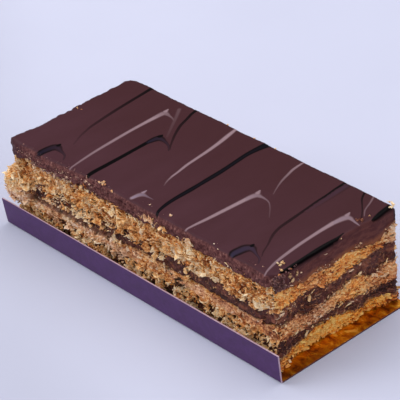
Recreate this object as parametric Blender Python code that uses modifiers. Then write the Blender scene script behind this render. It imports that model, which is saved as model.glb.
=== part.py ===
"""Chocolate mille-feuille: a cut bar of flaky pastry sheets and chocolate cream under a chocolate glaze.

The bar stands on its own thin card, whose long front edge is folded up against it. The origin is the
middle of the footprint on the table. X runs along the bar, Y towards its back and Z up, in metres.
"""

import math
import random

import bmesh
import bpy
from mathutils import Matrix, Vector, noise
from mathutils.bvhtree import BVHTree

MM = 0.001

# The card: a flat sheet with a bend along its front and a low flap that leans out a little.
CARD_LENGTH = 130.5 * MM
CARD_THICKNESS = 0.5 * MM
CARD_FRONT = -26.25 * MM
CARD_BACK = 26.15 * MM
CARD_BEND_RADIUS = 0.9 * MM
CARD_BEND_STEPS = 4
FLAP_HEIGHT = 10.0 * MM
FLAP_LEAN_LEFT = 1.0 * MM
FLAP_LEAN_RIGHT = 0.4 * MM
CARD_COLUMNS = 2

# The bar, as it is cut, and where its middle lies on the card.
BAR_LENGTH = 120.0 * MM
BAR_WIDTH = 48.6 * MM
BAR_CENTRE_X = 1.9 * MM
BAR_CENTRE_Y = 1.05 * MM
GAP = 0.3 * MM

# Mean height of each layer's top over the table, from the lowest layer up.
LAYER_TOPS = {
    "pastry_bottom": 7.3 * MM,
    "cream_lower": 10.8 * MM,
    "pastry_middle": 16.8 * MM,
    "cream_upper": 21.5 * MM,
    "pastry_top": 27.3 * MM,
    "glaze": 34.3 * MM,
}
LAYERS = list(LAYER_TOPS)
SEAM_WAVE = 0.55 * MM
SEAM_WAVE_PITCH = 17.0 * MM
GLAZE_TOP_WAVE = 0.08 * MM
# Where a seam swells or dips at the right cut end: place across the bar, reach and rise.
END_SEAM_BUMPS = {
    "pastry_bottom": (
        (-19.0 * MM, 4.5 * MM, -1.0 * MM),
        (-5.0 * MM, 5.5 * MM, 1.1 * MM),
        (9.5 * MM, 4.5 * MM, -1.2 * MM),
    ),
    "pastry_middle": ((16.0 * MM, 5.5 * MM, -1.6 * MM),),
    "cream_upper": ((22.0 * MM, 6.0 * MM, 1.6 * MM),),
}
# The crumbs climb up the glaze along the long sides, over a strip that starts and ends this far in.
FRONT_CLIMB = 2.4 * MM
BACK_CLIMB = 0.9 * MM
CLIMB_START = 7.3 * MM
CLIMB_END = 3.2 * MM

# How each kind of layer's sides run: its inset from the bar's cut sides and the size of its crags.
CREAM_INSET_SIDE = 1.1 * MM
CREAM_INSET_END = 0.2 * MM
PASTRY_CRAG = 0.75 * MM
CREAM_CRAG = 0.3 * MM
GLAZE_CRAG = 0.35 * MM
CRAG_PITCH = 5.0 * MM
FOOT_UNDERCUT = 1.5 * MM
GLAZE_ROUNDING = 1.3 * MM
# The glaze hangs over the front at the left end and stops short of the crumbs further right.
GLAZE_RIM_LEFT = 1.5 * MM
GLAZE_RIM_RIGHT = -0.5 * MM
GLAZE_CORNER_SWELL = 1.4 * MM
CORNER_TRIM = 0.4 * MM

# Slab resolution: strips along the bar, places of the cuts across it, bands up each layer's side and
# extra cuts along its long walls.
COLUMNS = 11
ROWS = (-0.87, -0.78, -0.70, -0.5, -0.25, 0.0, 0.25, 0.5, 0.70, 0.78, 0.87)
BANDS = {"pastry": 3, "cream": 1, "glaze": 4}
WALL_CUTS = {"pastry": 2, "cream": 0, "glaze": 2}

# Flakes pressed into the long sides: length, breadth and thickness, each as a range.
FLAKE_LENGTH = (4.0 * MM, 7.4 * MM)
FLAKE_BREADTH = (2.8 * MM, 5.0 * MM)
FLAKE_THICKNESS = (0.7 * MM, 1.3 * MM)
FLAKES_PER_WALL = {"front": 24, "back": 20, "left": 3, "right": 3, "corner": 2}
FLAKE_TRIES = 14
# How far flakes may stand out of the long sides, the cut ends and the ragged front left corner.
REACH_SIDE = 2.2 * MM
REACH_END = 0.9 * MM
REACH_CORNER = 2.8 * MM
FLAKE_SEED = 41

# Crumbs that lie on the glaze, near its edges: place on the bar in millimetres and their size.
GLAZE_CRUMBS = (
    (57.2, -18.0, 2.2),
    (58.3, -20.4, 2.4),
    (-17.0, -23.0, 2.6),
    (-11.2, -23.2, 2.0),
    (13.0, -21.7, 1.7),
    (57.9, 15.4, 2.0),
    (57.4, 22.9, 2.8),
    (7.6, 23.4, 2.0),
    (-12.0, 23.6, 2.0),
    (19.2, 23.5, 1.7),
)

COLOURS = {
    "card": ((0.060, 0.036, 0.105), 0.45),
    "pastry_bottom": ((0.480, 0.245, 0.075), 0.80),
    "cream_lower": ((0.045, 0.022, 0.020), 0.45),
    "pastry_middle": ((0.520, 0.290, 0.110), 0.80),
    "cream_upper": ((0.050, 0.025, 0.024), 0.45),
    "pastry_top": ((0.560, 0.320, 0.110), 0.80),
    "glaze": ((0.070, 0.032, 0.038), 0.30),
}


def clear_scene():
    """Start from an empty scene."""
    for thing in list(bpy.data.objects):
        bpy.data.objects.remove(thing, do_unlink=True)


def new_collection(name):
    """A collection of that name in the scene."""
    group = bpy.data.collections.new(name)
    bpy.context.scene.collection.children.link(group)
    return group


def add_object(name, shape, group):
    """An object in `group` that holds the bmesh `shape`, which is used up."""
    mesh = bpy.data.meshes.new(name)
    shape.to_mesh(mesh)
    shape.free()
    thing = bpy.data.objects.new(name, mesh)
    group.objects.link(thing)
    return thing


def paint(thing):
    """Give the object its own material."""
    colour, roughness = COLOURS[thing.name]
    material = bpy.data.materials.new(thing.name)
    material.use_nodes = True
    shader = material.node_tree.nodes["Principled BSDF"]
    shader.inputs["Base Color"].default_value = (*colour, 1.0)
    shader.inputs["Roughness"].default_value = roughness
    shader.inputs["Metallic"].default_value = 0.0
    thing.data.materials.clear()
    thing.data.materials.append(material)


def smooth_step(value):
    """0 below 0, 1 above 1 and a smooth ramp between."""
    value = min(max(value, 0.0), 1.0)
    return value * value * (3.0 - 2.0 * value)


def ripple(x, y, z, pitch, layer):
    """Smooth noise between -1 and 1, different for each layer."""
    return noise.noise(Vector((x / pitch, y / pitch, z / pitch + 9.7 * layer)))


# The card


def card_section(lean):
    """Points along the card's inside, from its back edge to the flap's top, as (y, z) pairs."""
    angle = math.pi / 2 - math.atan2(lean, FLAP_HEIGHT)
    inner = CARD_BEND_RADIUS - CARD_THICKNESS
    centre_y = CARD_FRONT + CARD_BEND_RADIUS
    centre_z = CARD_BEND_RADIUS
    points = [(CARD_BACK, CARD_THICKNESS)]
    for step in range(CARD_BEND_STEPS + 1):
        turn = angle * step / CARD_BEND_STEPS
        points.append((centre_y - inner * math.sin(turn), centre_z - inner * math.cos(turn)))
    foot_y, foot_z = points[-1]
    rise = FLAP_HEIGHT - foot_z
    points.append((foot_y - rise / math.tan(angle), FLAP_HEIGHT))
    return points


def build_card(group):
    """The folded card: a bent sheet along X, thickened downwards and outwards."""
    sections = len(card_section(0.0))
    shape = bmesh.new()
    bmesh.ops.create_grid(shape, x_segments=CARD_COLUMNS, y_segments=sections - 1, size=1.0)
    for vert in shape.verts:
        along = (vert.co.x + 1.0) / 2.0
        lean = FLAP_LEAN_LEFT + (FLAP_LEAN_RIGHT - FLAP_LEAN_LEFT) * along
        place = round((1.0 - vert.co.y) / 2.0 * (sections - 1))
        y, z = card_section(lean)[place]
        vert.co = (vert.co.x * CARD_LENGTH / 2.0, y, z)
    card = add_object("card", shape, group)
    thickness = card.modifiers.new("Thickness", "SOLIDIFY")
    thickness.thickness = CARD_THICKNESS
    thickness.offset = -1.0
    thickness.use_even_offset = True
    return card


# The layers


def climb(y):
    """How far the seam under the glaze rises at a place across the bar."""
    inside = BAR_WIDTH / 2.0 - abs(y)
    full = FRONT_CLIMB if y < 0.0 else BACK_CLIMB
    return full * smooth_step((CLIMB_START - inside) / (CLIMB_START - CLIMB_END))


def seam_height(layer, x, y):
    """Height of the top of layer number `layer` at (x, y) on the bar, or of the card below layer 0."""
    if layer < 0:
        return CARD_THICKNESS + GAP / 2.0
    mean = LAYER_TOPS[LAYERS[layer]]
    if LAYERS[layer] == "glaze":
        return mean + GLAZE_TOP_WAVE * ripple(x, y, 0.0, SEAM_WAVE_PITCH, layer)
    height = mean + SEAM_WAVE * ripple(x, y, 0.0, SEAM_WAVE_PITCH, layer)
    for across, reach, rise in END_SEAM_BUMPS.get(LAYERS[layer], ()):
        distance = Vector((x - BAR_LENGTH / 2.0, y - across)).length
        height += rise * math.exp(-((distance / reach) ** 2))
    if LAYERS[layer] == "pastry_top":
        height += climb(y)
    return height


def pastry_inset(layer, level):
    """The lowest sheet is undercut at its foot; the others run straight up."""
    if LAYERS[layer] != "pastry_bottom":
        return 0.0
    return FOOT_UNDERCUT * (1.0 - smooth_step(level / 0.5))


def glaze_inset(level):
    """The glaze's side curves in over the top in a quarter round."""
    thickness = LAYER_TOPS["glaze"] - LAYER_TOPS["pastry_top"] - FRONT_CLIMB
    below_top = (1.0 - level) * thickness
    if below_top >= GLAZE_ROUNDING:
        return 0.0
    return GLAZE_ROUNDING * (1.0 - math.sqrt(1.0 - (1.0 - below_top / GLAZE_ROUNDING) ** 2))


def glaze_rim(x, side):
    """How far the glaze's long side stands out at x: over the crumbs at the front left."""
    if side > 0:
        return 0.3 * MM
    share = smooth_step((x + 45.0 * MM) / (40.0 * MM))
    return GLAZE_RIM_LEFT + (GLAZE_RIM_RIGHT - GLAZE_RIM_LEFT) * share


def glaze_swell(x, y):
    """The glaze's blob over the front left corner."""
    corner = Vector((x + BAR_LENGTH / 2.0, y + BAR_WIDTH / 2.0))
    return GLAZE_CORNER_SWELL * math.exp(-((corner.length / (5.0 * MM)) ** 2))


def side_shift(layer, x, z, level, side):
    """Outward shift of a long side (`side` is -1 at the front and 1 at the back)."""
    name = LAYERS[layer]
    wobble = ripple(x, side * 40.0 * MM, z, CRAG_PITCH, layer)
    if name.startswith("cream"):
        return CREAM_CRAG * wobble - CREAM_INSET_SIDE
    if name == "glaze":
        return GLAZE_CRAG * wobble + glaze_rim(x, side) - glaze_inset(level)
    return PASTRY_CRAG * wobble - pastry_inset(layer, level)


def end_shift(layer, x, y, z, level):
    """Outward shift of a cut end."""
    name = LAYERS[layer]
    wobble = ripple(x, y, z, CRAG_PITCH, layer + 20)
    if name.startswith("cream"):
        return CREAM_CRAG * wobble - CREAM_INSET_END
    if name == "glaze":
        return 0.5 * GLAZE_CRAG * wobble - 0.6 * glaze_inset(level) + glaze_swell(x, y)
    return 0.6 * PASTRY_CRAG * wobble - pastry_inset(layer, level)


def runs_along_side(edge):
    """True for an edge that runs along X on one of the block's long sides."""
    first, last = (vert.co for vert in edge.verts)
    side = BAR_WIDTH / 2.0 - 0.01 * MM
    return min(abs(first.y), abs(last.y)) > side and abs(first.x - last.x) > 1.0 * MM


def block(bands):
    """A cube of side 2 cut into strips and bands, with one diagonal across each top and bottom face."""
    shape = bmesh.new()
    bmesh.ops.create_cube(shape, size=2.0)
    places = [(-1.0 + 2.0 * column / COLUMNS, "X") for column in range(1, COLUMNS)]
    places += [(row, "Y") for row in ROWS]
    places += [(-1.0 + 2.0 * band / bands, "Z") for band in range(1, bands)]
    for place, axis in places:
        normal = Vector([float(axis == letter) for letter in "XYZ"])
        everything = [*shape.verts, *shape.edges, *shape.faces]
        bmesh.ops.bisect_plane(shape, geom=everything, plane_co=normal * place, plane_no=normal)
    for face in [face for face in shape.faces if abs(face.normal.z) > 0.9]:
        corners = sorted(face.verts, key=lambda vert: vert.co.x + vert.co.y)
        bmesh.utils.face_split(face, corners[0], corners[-1])
    return shape


def slab_levels(layer, x, y):
    """Heights of a layer's underside and top at (x, y) on the bar, with the gap to its neighbours."""
    low = seam_height(layer - 1, x, y) + GAP / 2.0
    high = seam_height(layer, x, y)
    return low, high if LAYERS[layer] == "glaze" else high - GAP / 2.0


def slab(layer):
    """One layer of the bar as a bmesh: its seams first, then the crags of its sides and ends."""
    kind = LAYERS[layer].split("_")[0]
    shape = block(BANDS[kind])
    for vert in shape.verts:
        x, y = vert.co.x * BAR_LENGTH / 2.0, vert.co.y * BAR_WIDTH / 2.0
        low, high = slab_levels(layer, x, y)
        vert.co = (x, y, low + (high - low) * (vert.co.z + 1.0) / 2.0)
    if WALL_CUTS[kind]:
        runs = [edge for edge in shape.edges if runs_along_side(edge)]
        bmesh.ops.subdivide_edges(shape, edges=runs, cuts=WALL_CUTS[kind])
    for vert in shape.verts:
        x, y, z = vert.co
        low, high = slab_levels(layer, x, y)
        level = min(max((z - low) / (high - low), 0.0), 1.0)
        at_side = abs(y) > BAR_WIDTH / 2.0 - 0.01 * MM
        at_end = abs(x) > BAR_LENGTH / 2.0 - 0.01 * MM
        trim = CORNER_TRIM if at_side and at_end else 0.0
        if at_side:
            facing = math.copysign(1.0, y)
            vert.co.y += facing * (side_shift(layer, x, z, level, facing) - trim)
        if at_end:
            vert.co.x = x + math.copysign(1.0, x) * (end_shift(layer, x, y, z, level) - trim)
    bmesh.ops.translate(shape, verts=shape.verts, vec=(BAR_CENTRE_X, BAR_CENTRE_Y, 0.0))
    bmesh.ops.triangulate(shape, faces=shape.faces)
    bmesh.ops.recalc_face_normals(shape, faces=shape.faces)
    return shape


# The flakes


def flake_shape(rng):
    """A thin, slightly dished plate with an uneven outline, one unit long, broad and thick."""
    shape = bmesh.new()
    bmesh.ops.create_cone(
        shape,
        cap_ends=True,
        segments=rng.choice((5, 5, 6)),
        radius1=0.5,
        radius2=0.40,
        depth=1.0,
    )
    caps = [face for face in shape.faces if face.normal.z > 0.9]
    bmesh.ops.poke(shape, faces=caps, offset=rng.uniform(0.0, 0.4))
    phase = rng.uniform(0.0, math.tau)
    for vert in shape.verts:
        angle = math.atan2(vert.co.y, vert.co.x)
        reach = 1.0 + 0.16 * math.sin(2.0 * angle + phase) + 0.10 * math.sin(3.0 * angle + 2.0 * phase)
        vert.co.x *= reach
        vert.co.y *= reach
    bmesh.ops.triangulate(shape, faces=shape.faces)
    bmesh.ops.recalc_face_normals(shape, faces=shape.faces)
    return shape


def flake_turn(rng, outward):
    """Rotation that lays a flake against a wall facing `outward`, tilted at random."""
    upright = Vector((0.0, 0.0, 1.0))
    along = upright.cross(outward).normalized()
    basis = Matrix((along, outward.cross(along), outward)).transposed().to_4x4()
    spin = Matrix.Rotation(rng.gauss(0.0, 0.6), 4, "Z")
    tip = Matrix.Rotation(rng.gauss(0.0, 0.5), 4, "X")
    lean = Matrix.Rotation(rng.gauss(0.0, 0.35), 4, "Y")
    return basis @ tip @ lean @ spin


def tree_of(shape):
    """Search tree of a bmesh, for finding what it touches."""
    return BVHTree.FromBMesh(shape)


def placed(source, place, turn, size, extra):
    """A copy of a flake at its real size, grown by `extra` all round."""
    shape = source.copy()
    scale = Matrix.Diagonal((size[0] + 2 * extra, size[1] + 2 * extra, size[2] + 2 * extra, 1.0))
    shape.transform(Matrix.Translation(place) @ turn @ scale)
    return shape


def within_bounds(shape, wall):
    """True when a flake stands over the card and within its wall's reach."""
    reach_x = REACH_CORNER if wall == "corner" else REACH_END
    for vert in shape.verts:
        x, y, z = vert.co
        if abs(x - BAR_CENTRE_X) > BAR_LENGTH / 2.0 + reach_x:
            return False
        if abs(y - BAR_CENTRE_Y) > BAR_WIDTH / 2.0 + REACH_SIDE:
            return False
        if z < CARD_THICKNESS + GAP or z > LAYER_TOPS["glaze"]:
            return False
    return True


def wall_place(rng, layer, wall, share):
    """A point in a layer's side wall and the way it faces; `share` says how far along the wall."""
    facing = {
        "front": Vector((0.0, -1.0, 0.0)),
        "back": Vector((0.0, 1.0, 0.0)),
        "left": Vector((-1.0, 0.0, 0.0)),
        "right": Vector((1.0, 0.0, 0.0)),
        "corner": Vector((-0.6, -0.8, 0.0)),
    }[wall]
    across = abs(facing.y) > 0.5
    x = (share - 0.5) * BAR_LENGTH if across else facing.x * BAR_LENGTH / 2.0
    y = math.copysign(BAR_WIDTH / 2.0, facing.y) if across else (share - 0.5) * (BAR_WIDTH - 8.0 * MM)
    if wall == "corner":
        x = -BAR_LENGTH / 2.0
    low, high = slab_levels(layer, x, y)
    level = rng.uniform(0.12, 0.88)
    z = low + (high - low) * level
    shift = side_shift(layer, x, z, level, facing.y) if across else end_shift(layer, x, y, z, level)
    stand_out = rng.uniform(-0.3, 0.6) * MM
    place = Vector((x + BAR_CENTRE_X, y + BAR_CENTRE_Y, z)) + facing * (shift + stand_out)
    return place, facing


def grow_flakes(layer, blocked, rng):
    """Flakes for one pastry sheet, as bmeshes that stay clear of everything in `blocked`."""
    flakes = []
    for wall, count in FLAKES_PER_WALL.items():
        for number in range(count):
            for attempt in range(FLAKE_TRIES):
                shrink = 1.0 - 0.5 * attempt / FLAKE_TRIES
                share = (number + rng.uniform(0.05, 0.95)) / count
                place, facing = wall_place(rng, layer, wall, share)
                size = [
                    rng.uniform(*FLAKE_LENGTH) * shrink,
                    rng.uniform(*FLAKE_BREADTH) * shrink,
                    rng.uniform(*FLAKE_THICKNESS),
                ]
                source = flake_shape(rng)
                turn = flake_turn(rng, facing)
                wide = placed(source, place, turn, size, GAP)
                wide_tree = tree_of(wide)
                free = within_bounds(wide, wall) and not any(wide_tree.overlap(tree) for tree in blocked)
                wide.free()
                if free:
                    flakes.append(placed(source, place, turn, size, 0.0))
                source.free()
                if free:
                    break
    return flakes


def glaze_crumbs(rng):
    """The few crumbs that lie on the glaze, half sunk in it."""
    crumbs = []
    for x_mm, y_mm, size_mm in GLAZE_CRUMBS:
        x, y, size = x_mm * MM, y_mm * MM, size_mm * MM
        source = flake_shape(rng)
        top = seam_height(LAYERS.index("glaze"), x, y)
        place = Vector((x + BAR_CENTRE_X, y + BAR_CENTRE_Y, top + 0.1 * size))
        turn = Matrix.Rotation(rng.uniform(0.0, math.tau), 4, "Z") @ Matrix.Rotation(0.3, 4, "X")
        crumbs.append(placed(source, place, turn, (size, 0.8 * size, 0.7 * size), 0.0))
        source.free()
    return crumbs


def largest_body(mesh):
    """Drop loose scraps and the walls of sealed hollows, so that one closed body is left."""
    shape = bmesh.new()
    shape.from_mesh(mesh)
    waiting = set(shape.faces)
    bodies = []
    while waiting:
        front = [waiting.pop()]
        body = list(front)
        while front:
            face = front.pop()
            for edge in face.edges:
                for other in edge.link_faces:
                    if other in waiting:
                        waiting.remove(other)
                        front.append(other)
                        body.append(other)
        bodies.append(body)
    bodies.sort(key=len, reverse=True)
    for body in bodies[1:]:
        bmesh.ops.delete(shape, geom=body, context="FACES")
    shape.to_mesh(mesh)
    shape.free()


def fuse(thing, pieces):
    """Join small pieces to a layer with one Boolean union, and keep the result as its mesh."""
    loose = new_collection(thing.name + "_pieces")
    for number, piece in enumerate(pieces):
        part = add_object(f"{thing.name}_piece_{number}", piece, loose)
        part.hide_render = True
        part.display_type = "WIRE"
    join = thing.modifiers.new("Pieces", "BOOLEAN")
    join.operation = "UNION"
    join.operand_type = "COLLECTION"
    join.collection = loose
    join.solver = "EXACT"
    bpy.context.view_layer.update()
    joined = bpy.data.meshes.new_from_object(thing.evaluated_get(bpy.context.evaluated_depsgraph_get()))
    thing.modifiers.remove(join)
    joined.name = thing.name
    thing.data = joined
    for part in list(loose.objects):
        bpy.data.objects.remove(part, do_unlink=True)
    bpy.data.collections.remove(loose)
    largest_body(thing.data)


def build_bar(group, card):
    """All the layers, with the flakes and crumbs that are part of them."""
    shapes = [slab(layer) for layer in range(len(LAYERS))]
    slab_trees = [tree_of(shape) for shape in shapes]
    graph = bpy.context.evaluated_depsgraph_get()
    card_tree = BVHTree.FromObject(card, graph)
    rng = random.Random(FLAKE_SEED)
    taken = {}
    things = []
    for layer, name in enumerate(LAYERS):
        pieces = []
        if name.startswith("pastry"):
            blocked = [card_tree] + [tree for other, tree in enumerate(slab_trees) if other != layer]
            blocked += [tree for trees in taken.values() for tree in trees]
            pieces = grow_flakes(layer, blocked, rng)
            taken[name] = [tree_of(piece) for piece in pieces]
        elif name == "glaze":
            pieces = glaze_crumbs(rng)
        thing = add_object(name, shapes[layer], group)
        if pieces:
            fuse(thing, pieces)
        things.append(thing)
    return things


def main():
    clear_scene()
    group = new_collection("chocolate_mille_feuille")
    card = build_card(group)
    bpy.context.view_layer.update()
    for thing in [card, *build_bar(group, card)]:
        paint(thing)


main()
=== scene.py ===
"""Chocolate mille-feuille: crisp pastry sheets, chocolate cream and a marbled glaze on a gold-faced card.

Shapes are worked out in millimetres on the bar, with X along it, Y towards its back and Z up from the
table, and are put into metres at the bar's place on the card when they are finished.
"""

import math
import random

import bmesh
import bpy
import numpy as np
from mathutils import Matrix, Vector, noise


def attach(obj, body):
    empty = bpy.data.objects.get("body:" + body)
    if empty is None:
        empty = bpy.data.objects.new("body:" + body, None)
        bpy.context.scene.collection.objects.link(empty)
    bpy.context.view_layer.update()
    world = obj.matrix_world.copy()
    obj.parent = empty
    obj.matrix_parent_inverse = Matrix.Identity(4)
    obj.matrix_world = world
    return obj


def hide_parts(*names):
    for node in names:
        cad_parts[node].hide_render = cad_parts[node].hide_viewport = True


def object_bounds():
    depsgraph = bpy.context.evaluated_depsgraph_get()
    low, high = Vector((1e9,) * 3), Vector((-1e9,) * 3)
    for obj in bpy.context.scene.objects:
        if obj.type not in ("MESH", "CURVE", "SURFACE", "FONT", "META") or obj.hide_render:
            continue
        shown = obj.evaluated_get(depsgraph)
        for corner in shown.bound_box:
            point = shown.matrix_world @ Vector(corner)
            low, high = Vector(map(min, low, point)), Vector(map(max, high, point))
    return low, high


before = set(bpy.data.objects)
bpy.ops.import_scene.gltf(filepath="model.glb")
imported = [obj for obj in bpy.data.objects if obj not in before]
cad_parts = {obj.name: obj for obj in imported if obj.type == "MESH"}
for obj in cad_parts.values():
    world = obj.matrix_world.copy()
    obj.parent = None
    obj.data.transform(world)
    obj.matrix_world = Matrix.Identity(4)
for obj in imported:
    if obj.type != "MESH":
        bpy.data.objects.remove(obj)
cad_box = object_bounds()

MM = 0.001
# The bar: its middle on the card, its size, and half of the gap that is kept between two layers.
BAR_MIDDLE = (1.925, 1.05)
LENGTH = 120.0
WIDTH = 48.6
HALF_GAP = 0.15
# The card: its length, its thickness under the bar, how far back it reaches and the height of its flap.
CARD_LENGTH = 130.49
CARD_TOP = 0.5
CARD_BACK = 26.15
FLAP_TOP = 10.0
# How many different flakes and crumbs there are, and where the random draws start.
FLAKE_SHAPES = 16
CRUMB_SHAPES = 8
COAT_SEED = 41
GLAZE_SEED = 7

# The layers, from the lowest up, with the mean height of each one's top.
LAYER_TOPS = {
    "pastry_bottom": 7.3,
    "cream_lower": 10.8,
    "pastry_middle": 16.8,
    "cream_upper": 21.5,
    "pastry_top": 27.3,
    "glaze": 34.3,
}
LAYERS = list(LAYER_TOPS)
# Heights of the seams on the right cut end: (y, height) along each layer's top.
CUT_SEAMS = {
    "pastry_bottom": ((-24, 5), (-22, 4.8), (-20, 6), (-15, 6), (-12, 6.8), (-10, 7.8), (-8, 8.2), (-3, 7.8),
        (1, 7.2), (5, 6.4), (8, 5.2), (11, 4.6), (15, 5.8), (19, 5.2), (22, 4.2), (25, 3.4)),
    "cream_lower": ((-24, 11), (-17, 10.8), (-11, 10.6), (-8, 10.3), (-5, 11.3), (0, 11.9), (3, 11.2),
        (8, 10.2), (12, 10.4), (18, 9.2), (25, 8)),
    "pastry_middle": ((-25, 17.2), (-22, 16.2), (-16, 17), (-12, 15.2), (-9, 15.8), (-7, 15.6), (-3, 16),
        (2, 16.8), (5, 18), (8, 17.8), (11, 17), (13, 15), (16, 14.4), (18, 15), (20, 16.6), (25, 15.6)),
    "cream_upper": ((-25, 23.6), (-22, 21.4), (-17, 22.6), (-12, 23.2), (-7, 22.2), (-3, 20.9), (2, 20.6),
        (4, 21.2), (8, 21.8), (15, 22.5), (20, 23.2), (25, 21.8)),
    "pastry_top": ((-25, 30.4), (-22, 28.6), (-18, 27.8), (-15, 27.4), (-12, 26.8), (-9, 28), (-5, 27.2),
        (-2, 26.4), (1, 27.2), (4, 28), (8, 27.2), (11, 26.4), (15, 26.2), (20, 27.2), (25, 28.4)),
}
# Heights up to which the foil is seen under the right cut end, where the lowest sheet is undercut.
CUT_FOOT = (
    (-24, 0.8), (-20, 1.3), (-17, 2.6), (-10, 2.9), (-5, 2.9), (0, 2.7), (5, 2.2), (8.5, 1.6), (10.5, 2.4),
    (12.5, 3), (14, 2.9), (17, 2), (19, 0.9), (25, 0.4),
)

# Camera: where it stands round the bar, in degrees, what it looks at, in mm on the card, and its lens.
CAMERA_AZIMUTH = 51.37
CAMERA_ELEVATION = 32.37
CAMERA_ROLL = -5.98
CAMERA_TARGET = (-5.725, 7.71, 17.0)
CAMERA_DISTANCE = 668.8
CAMERA_LENS = 190.9
CAMERA_SENSOR = 36.0


# Finishes


def srgb(red, green, blue):
    """A colour given in 0 to 255 as the linear colour that the shaders take."""
    linear = []
    for part in (red, green, blue):
        part /= 255.0
        linear.append(part / 12.92 if part <= 0.04045 else ((part + 0.055) / 1.055) ** 2.4)
    return (*linear, 1.0)


def maths(operation, reflected=False):
    """A method of Value that adds a Math node to its finish."""

    def method(self, *others):
        return self.finish.maths(operation, *((*others, self) if reflected else (self, *others)))

    return method


class Value:
    """Something that varies over a surface. Arithmetic on it adds Math nodes to its finish."""

    def __init__(self, finish, socket):
        self.finish = finish
        self.socket = socket

    __add__, __radd__ = maths("ADD"), maths("ADD", reflected=True)
    __sub__, __rsub__ = maths("SUBTRACT"), maths("SUBTRACT", reflected=True)
    __mul__, __rmul__ = maths("MULTIPLY"), maths("MULTIPLY", reflected=True)
    __truediv__ = maths("DIVIDE")
    __abs__ = maths("ABSOLUTE")
    most = maths("MAXIMUM")
    least = maths("MINIMUM")

    def __neg__(self):
        return self * -1.0

    def between(self, start, end):
        """0 at `start`, 1 at `end` and a smooth ramp between."""
        settings = {"interpolation_type": "SMOOTHSTEP", "clamp": True}
        return self.finish.node("MapRange", settings, {"Value": self, "From Min": start, "From Max": end})


class Finish:
    """A material built from nodes."""

    def __init__(self, name):
        self.material = bpy.data.materials.new(name)
        self.material.use_nodes = True
        self.tree = self.material.node_tree
        self.shader = self.tree.nodes["Principled BSDF"]
        self.place = self.node("TexCoord", output="Object")

    def node(self, kind, settings=None, sockets=None, output=0):
        """A node of one kind: its settings first, then its sockets' values or links."""
        made = self.tree.nodes.new("ShaderNode" + kind)
        for key, value in (settings or {}).items():
            if key == "stops":
                ramp = made.color_ramp.elements
                while len(ramp) < len(value):
                    ramp.new(0.5)
                for stop, (position, colour) in zip(ramp, value):
                    stop.position = position
                    stop.color = colour
            else:
                setattr(made, key, value)
        for key, value in (sockets or {}).items():
            self.feed(made.inputs[key], value)
        return Value(self, made.outputs[output])

    def feed(self, socket, value):
        if isinstance(value, Value):
            self.tree.links.new(value.socket, socket)
        else:
            socket.default_value = value

    def maths(self, operation, *values):
        return self.node("Math", {"operation": operation}, dict(enumerate(values)))

    def blend(self, one, other, share, kind="MIX"):
        """A colour that turns from `one` to `other` as `share` goes from 0 to 1."""
        settings = {"data_type": "RGBA", "blend_type": kind, "clamp_factor": True}
        return self.node("Mix", settings, {0: share, 6: one, 7: other}, output=2)

    def shaded(self, colour, amount):
        """A colour made darker or lighter by a varying amount."""
        grey = self.node("CombineColor", None, {0: amount, 1: amount, 2: amount})
        return self.blend(colour, grey, 1.0, "MULTIPLY")

    def ramp(self, value, *stops):
        return self.node("ValToRGB", {"stops": stops}, {"Fac": value})

    def cloud(self, size, detail=3.0, roughness=0.55, shift=0.0, warp=0.0):
        """Noise around 0.5 with blotches of `size` millimetres: one number or one for each axis."""
        sizes = size if isinstance(size, tuple) else (size,) * 3
        spots = {"Vector": self.place, "Location": (shift,) * 3, "Scale": [1 / MM / part for part in sizes]}
        look = {"Scale": 1.0, "Detail": detail, "Roughness": roughness, "Distortion": warp}
        return self.node("TexNoise", None, {"Vector": self.node("Mapping", None, spots), **look})

    def attribute(self, name, output="Fac"):
        return self.node("Attribute", {"attribute_name": name}, output=output)

    def parts(self, vector):
        """The three numbers of a vector."""
        outputs = self.node("SeparateXYZ", None, {0: vector}).socket.node.outputs
        return [Value(self, output) for output in outputs]

    def relief(self, height, depth):
        """Bump of `depth` millimetres."""
        bump = self.node("Bump", None, {"Distance": depth * MM, "Height": height})
        self.feed(self.shader.inputs["Normal"], bump)

    def coat(self, **values):
        """The shader's own sockets, by name with underscores for spaces."""
        for key, value in values.items():
            self.feed(self.shader.inputs[key.replace("_", " ")], value)
        return self.material


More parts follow.
